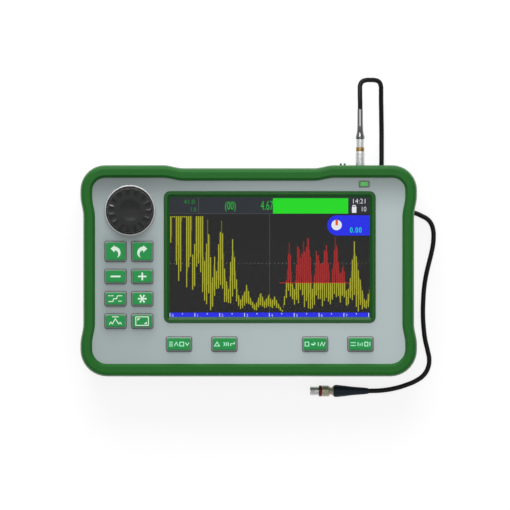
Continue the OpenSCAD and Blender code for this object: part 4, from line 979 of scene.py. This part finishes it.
# A face is a key's top where it is this near to its highest point, in mm, and points up by this share
NEAR_TOP, LEVEL = 0.1, 0.99


class TESTER_OT_keys(Operator):
    """Dresses the keys: grey caps with green tops"""
    bl_idname = "tester.keys"
    bl_label = "Keys"

    def execute(self, context):
        for node in ICONS:
            cap = coloured(taken(node), "key_side", "key_plastic")
            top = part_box(node)[1].z
            edit(cap)
            pick(cap, lambda face: face.center.z > top - GREEN_DEPTH * MM)
            cap.active_material_index = 1
            bpy.ops.object.material_slot_assign()
            pick(cap, lambda face: face.normal.z > LEVEL and face.center.z > top - NEAR_TOP * MM)
            bpy.ops.mesh.inset(thickness=sizes().key_line, depth=0)
            bpy.ops.mesh.inset(thickness=STEP_WIDTH * MM, depth=STEP_HEIGHT * MM)
            rounded(cap, sizes().key_edge / MM, 2, 30)
            done(cap, node + "_cap", body_of(node), node)
        return {"FINISHED"}


class TESTER_OT_icons(Operator):
    """Prints the icons on the keys"""
    bl_idname = "tester.icons"
    bl_label = "Key icons"

    def execute(self, context):
        half = sizes().stroke / MM
        for node, (lines, rings, outlines) in ICONS.items():
            shapes = list(outlines)
            for line in lines:
                shapes += ribbon(line, half)
            for line in rings:
                shapes += ribbon(line, half, True)
            middle = middle_of(node).xy
            moved = [[Vector(point) + middle for point in line] for line in shapes]
            icon = flat_shapes(moved, top_of(node) - ICON_SUNK, ICON_THICK)
            coloured(icon, "soft_print" if node.startswith("soft_key") else "icon_print")
            done(icon, node + "_icon", body_of(node))
        return {"FINISHED"}


# The white mark on the knob's rim: its angle in degrees, its ends' distances from the middle, half its
# width and how far its middle lies under the knob's top, in mm
MARK_ANGLE = 165
MARK_ENDS = (10.6, 13.0)
MARK_HALF, MARK_SUNK = 0.24, 0.36


class TESTER_OT_knob(Operator):
    """Dresses the encoder knob and its metal ring"""
    bl_idname = "tester.knob"
    bl_label = "Knob"

    def execute(self, context):
        dressed("knob", "knob_cap", "knob_black", 0.05, angle=30)
        dressed("knob_collar", "knob_ring", "collar_metal", 0.3, 3, 30)
        middle = middle_of("knob").xy
        angle = math.radians(MARK_ANGLE)
        way = Vector((math.cos(angle), math.sin(angle)))
        mark = stroke([middle + reach * way for reach in MARK_ENDS], MARK_HALF, top_of("knob") - MARK_SUNK)
        done(coloured(mark, "mark_paint"), "knob_mark", body_of("knob"))
        return {"FINISHED"}


class TESTER_OT_light(Operator):
    """Dresses the status light and its frame"""
    bl_idname = "tester.light"
    bl_label = "Status light"

    def execute(self, context):
        dressed("led_bezel", "light_surround", "light_frame", 0.12)
        dressed("status_light", "light_lens", "light_green", 0.25, 3)
        return {"FINISHED"}


# Outer pieces whose CAD shape only needs its edges softened: node, name, finish, edge in mm
OUTER = [
    ("power_key", "power_button_cover", "bumper_rubber", 0.2),
    ("probe_socket", "probe_socket_body", "plug_metal", 0.15),
    ("spare_socket", "spare_socket_body", "plug_metal", 0.15),
    ("socket_nuts", "socket_ring_nuts", "plug_metal", 0.1),
    ("socket_inserts", "socket_cores", "white_insulator", 0.1),
    ("port_flap", "port_cover", "bumper_rubber", 0.25),
    ("usb_socket", "data_port", "steel", 0.08),
    ("charge_socket", "charge_port", "port_black", 0.1),
    ("battery_door", "battery_cover", "case_plastic", 0.25),
    ("door_screw", "cover_screw", "steel", 0.12),
    ("tilt_stand", "stand_leaf", "case_plastic", 0.3),
    ("feet", "rubber_feet", "black_rubber", 0.2),
    ("case_screws", "corner_screws", "steel", 0.15),
]
# Pieces inside, shown as the CAD has them, with their finishes
INNER = {
    "case_gasket": "black_rubber", "lcd_cell": "display", "lcd_housing": "steel", "keypad_mat": "silicone",
    "keypad_board": "board", "main_board": "board", "board_spacers": "steel", "pulser_board": "board",
    "io_board": "board", "battery_pack": "battery_wrap", "battery_contacts": "contact_brass",
    "door_pin": "steel", "stand_pin": "steel", "encoder_body": "steel", "encoder_plunger": "white_insulator",
    "knob_shaft": "steel", "flap_pin": "steel",
}


class TESTER_OT_fittings(Operator):
    """Dresses sockets, flap, battery door, stand, feet and screws"""
    bl_idname = "tester.fittings"
    bl_label = "Sockets and back"

    def execute(self, context):
        for piece in OUTER:
            dressed(*piece)
        return {"FINISHED"}


class TESTER_OT_inside(Operator):
    """Gives the pieces inside the case their finishes"""
    bl_idname = "tester.inside"
    bl_label = "Inside"

    def execute(self, context):
        for node, finish_name in INNER.items():
            coloured(frame["nodes"][node], finish_name)
        return {"FINISHED"}


# Lamps, all aimed at the origin: place, size across and along in m, power in watts
LAMPS = {
    "soft_top": ((0.0, -0.45, 1.2), (1.2, 1.0), 1.2),
    "main_box": ((-0.1, 0.72, 0.98), (0.8, 0.5), 6.1),
    "low_back": ((0.0, 1.3, 0.3), (1.6, 0.4), 8.8),
    "strip": ((0.0, 0.125, 1.2), (1.4, 0.08), 1.0),
}
# The world is grey to the object and white to the camera. The floor is pale grey to the object, and to the
# camera it is nearly white: a little grey, which keeps the shadow, and its own light
WORLD_GREY = 0.42
FLOOR_DEPTH = 0.0001
FLOOR_GREY, FLOOR_SEEN, FLOOR_LIT = 0.8, 0.25, 0.82


class TESTER_OT_stage(Operator):
    """Adds the floor, the lamps and the pale surroundings"""
    bl_idname = "tester.stage"
    bl_label = "Stage"

    def execute(self, context):
        self.floor(context)
        for name, (place, size, power) in LAMPS.items():
            self.lamp(context, name, place, size, power)
        sky = Paint("studio_world", "worlds", "Background")
        looked_at = sky.node("ShaderNodeLightPath", out="Is Camera Ray")
        context.scene.world = sky.set(Color=sky.mix(looked_at, grey(WORLD_GREY), grey(1.0)))
        return {"FINISHED"}

    def floor(self, context):
        alone()
        bpy.ops.mesh.primitive_plane_add(size=sizes().floor, location=(0, 0, -FLOOR_DEPTH))
        floor = context.object
        floor.name = "studio_floor"
        paint = Paint("studio_floor")
        seen = paint.seen()
        floor.data.materials.append(paint.set(
            Base_Color=paint.mix(seen, grey(FLOOR_GREY), grey(FLOOR_SEEN)), Roughness=0.9,
            Specular_IOR_Level=0.0, Emission_Strength=1.0,
            Emission_Color=paint.mix(seen, grey(0), grey(FLOOR_LIT))))

    def lamp(self, context, name, place, size, power):
        bpy.ops.object.light_add(type="AREA", location=place)
        lamp = context.object
        lamp.name = name
        lamp.data.shape = "RECTANGLE"
        lamp.data.size, lamp.data.size_y = size
        lamp.data.energy = power
        lamp.rotation_euler = (-Vector(place)).to_track_quat("-Z", "Y").to_euler()


STEPS = [TESTER_OT_camera, TESTER_OT_lead, TESTER_OT_case, TESTER_OT_screen, TESTER_OT_picture,
         TESTER_OT_keys, TESTER_OT_icons, TESTER_OT_knob, TESTER_OT_light, TESTER_OT_fittings,
         TESTER_OT_inside, TESTER_OT_stage]


class TESTER_PT_panel(Panel):
    """Lists the steps that build the tester's looks"""
    bl_idname = "TESTER_PT_panel"
    bl_label = "Case depth tester"
    bl_space_type = "VIEW_3D"
    bl_region_type = "UI"
    bl_category = "Tester"

    def draw(self, context):
        for step in STEPS:
            self.layout.operator(step.bl_idname)


CLASSES = [TesterSizes, TesterColours, *STEPS, TESTER_PT_panel]


def register():
    for one in CLASSES:
        bpy.utils.register_class(one)
    bpy.types.Scene.tester_sizes = PointerProperty(type=TesterSizes)
    bpy.types.Scene.tester_colours = PointerProperty(type=TesterColours)


def unregister():
    del bpy.types.Scene.tester_sizes
    del bpy.types.Scene.tester_colours
    for one in reversed(CLASSES):
        bpy.utils.unregister_class(one)


def main():
    register()
    for step in STEPS:
        group, name = step.bl_idname.split(".")
        getattr(getattr(bpy.ops, group), name)()


if __name__ == "__main__":
    main()
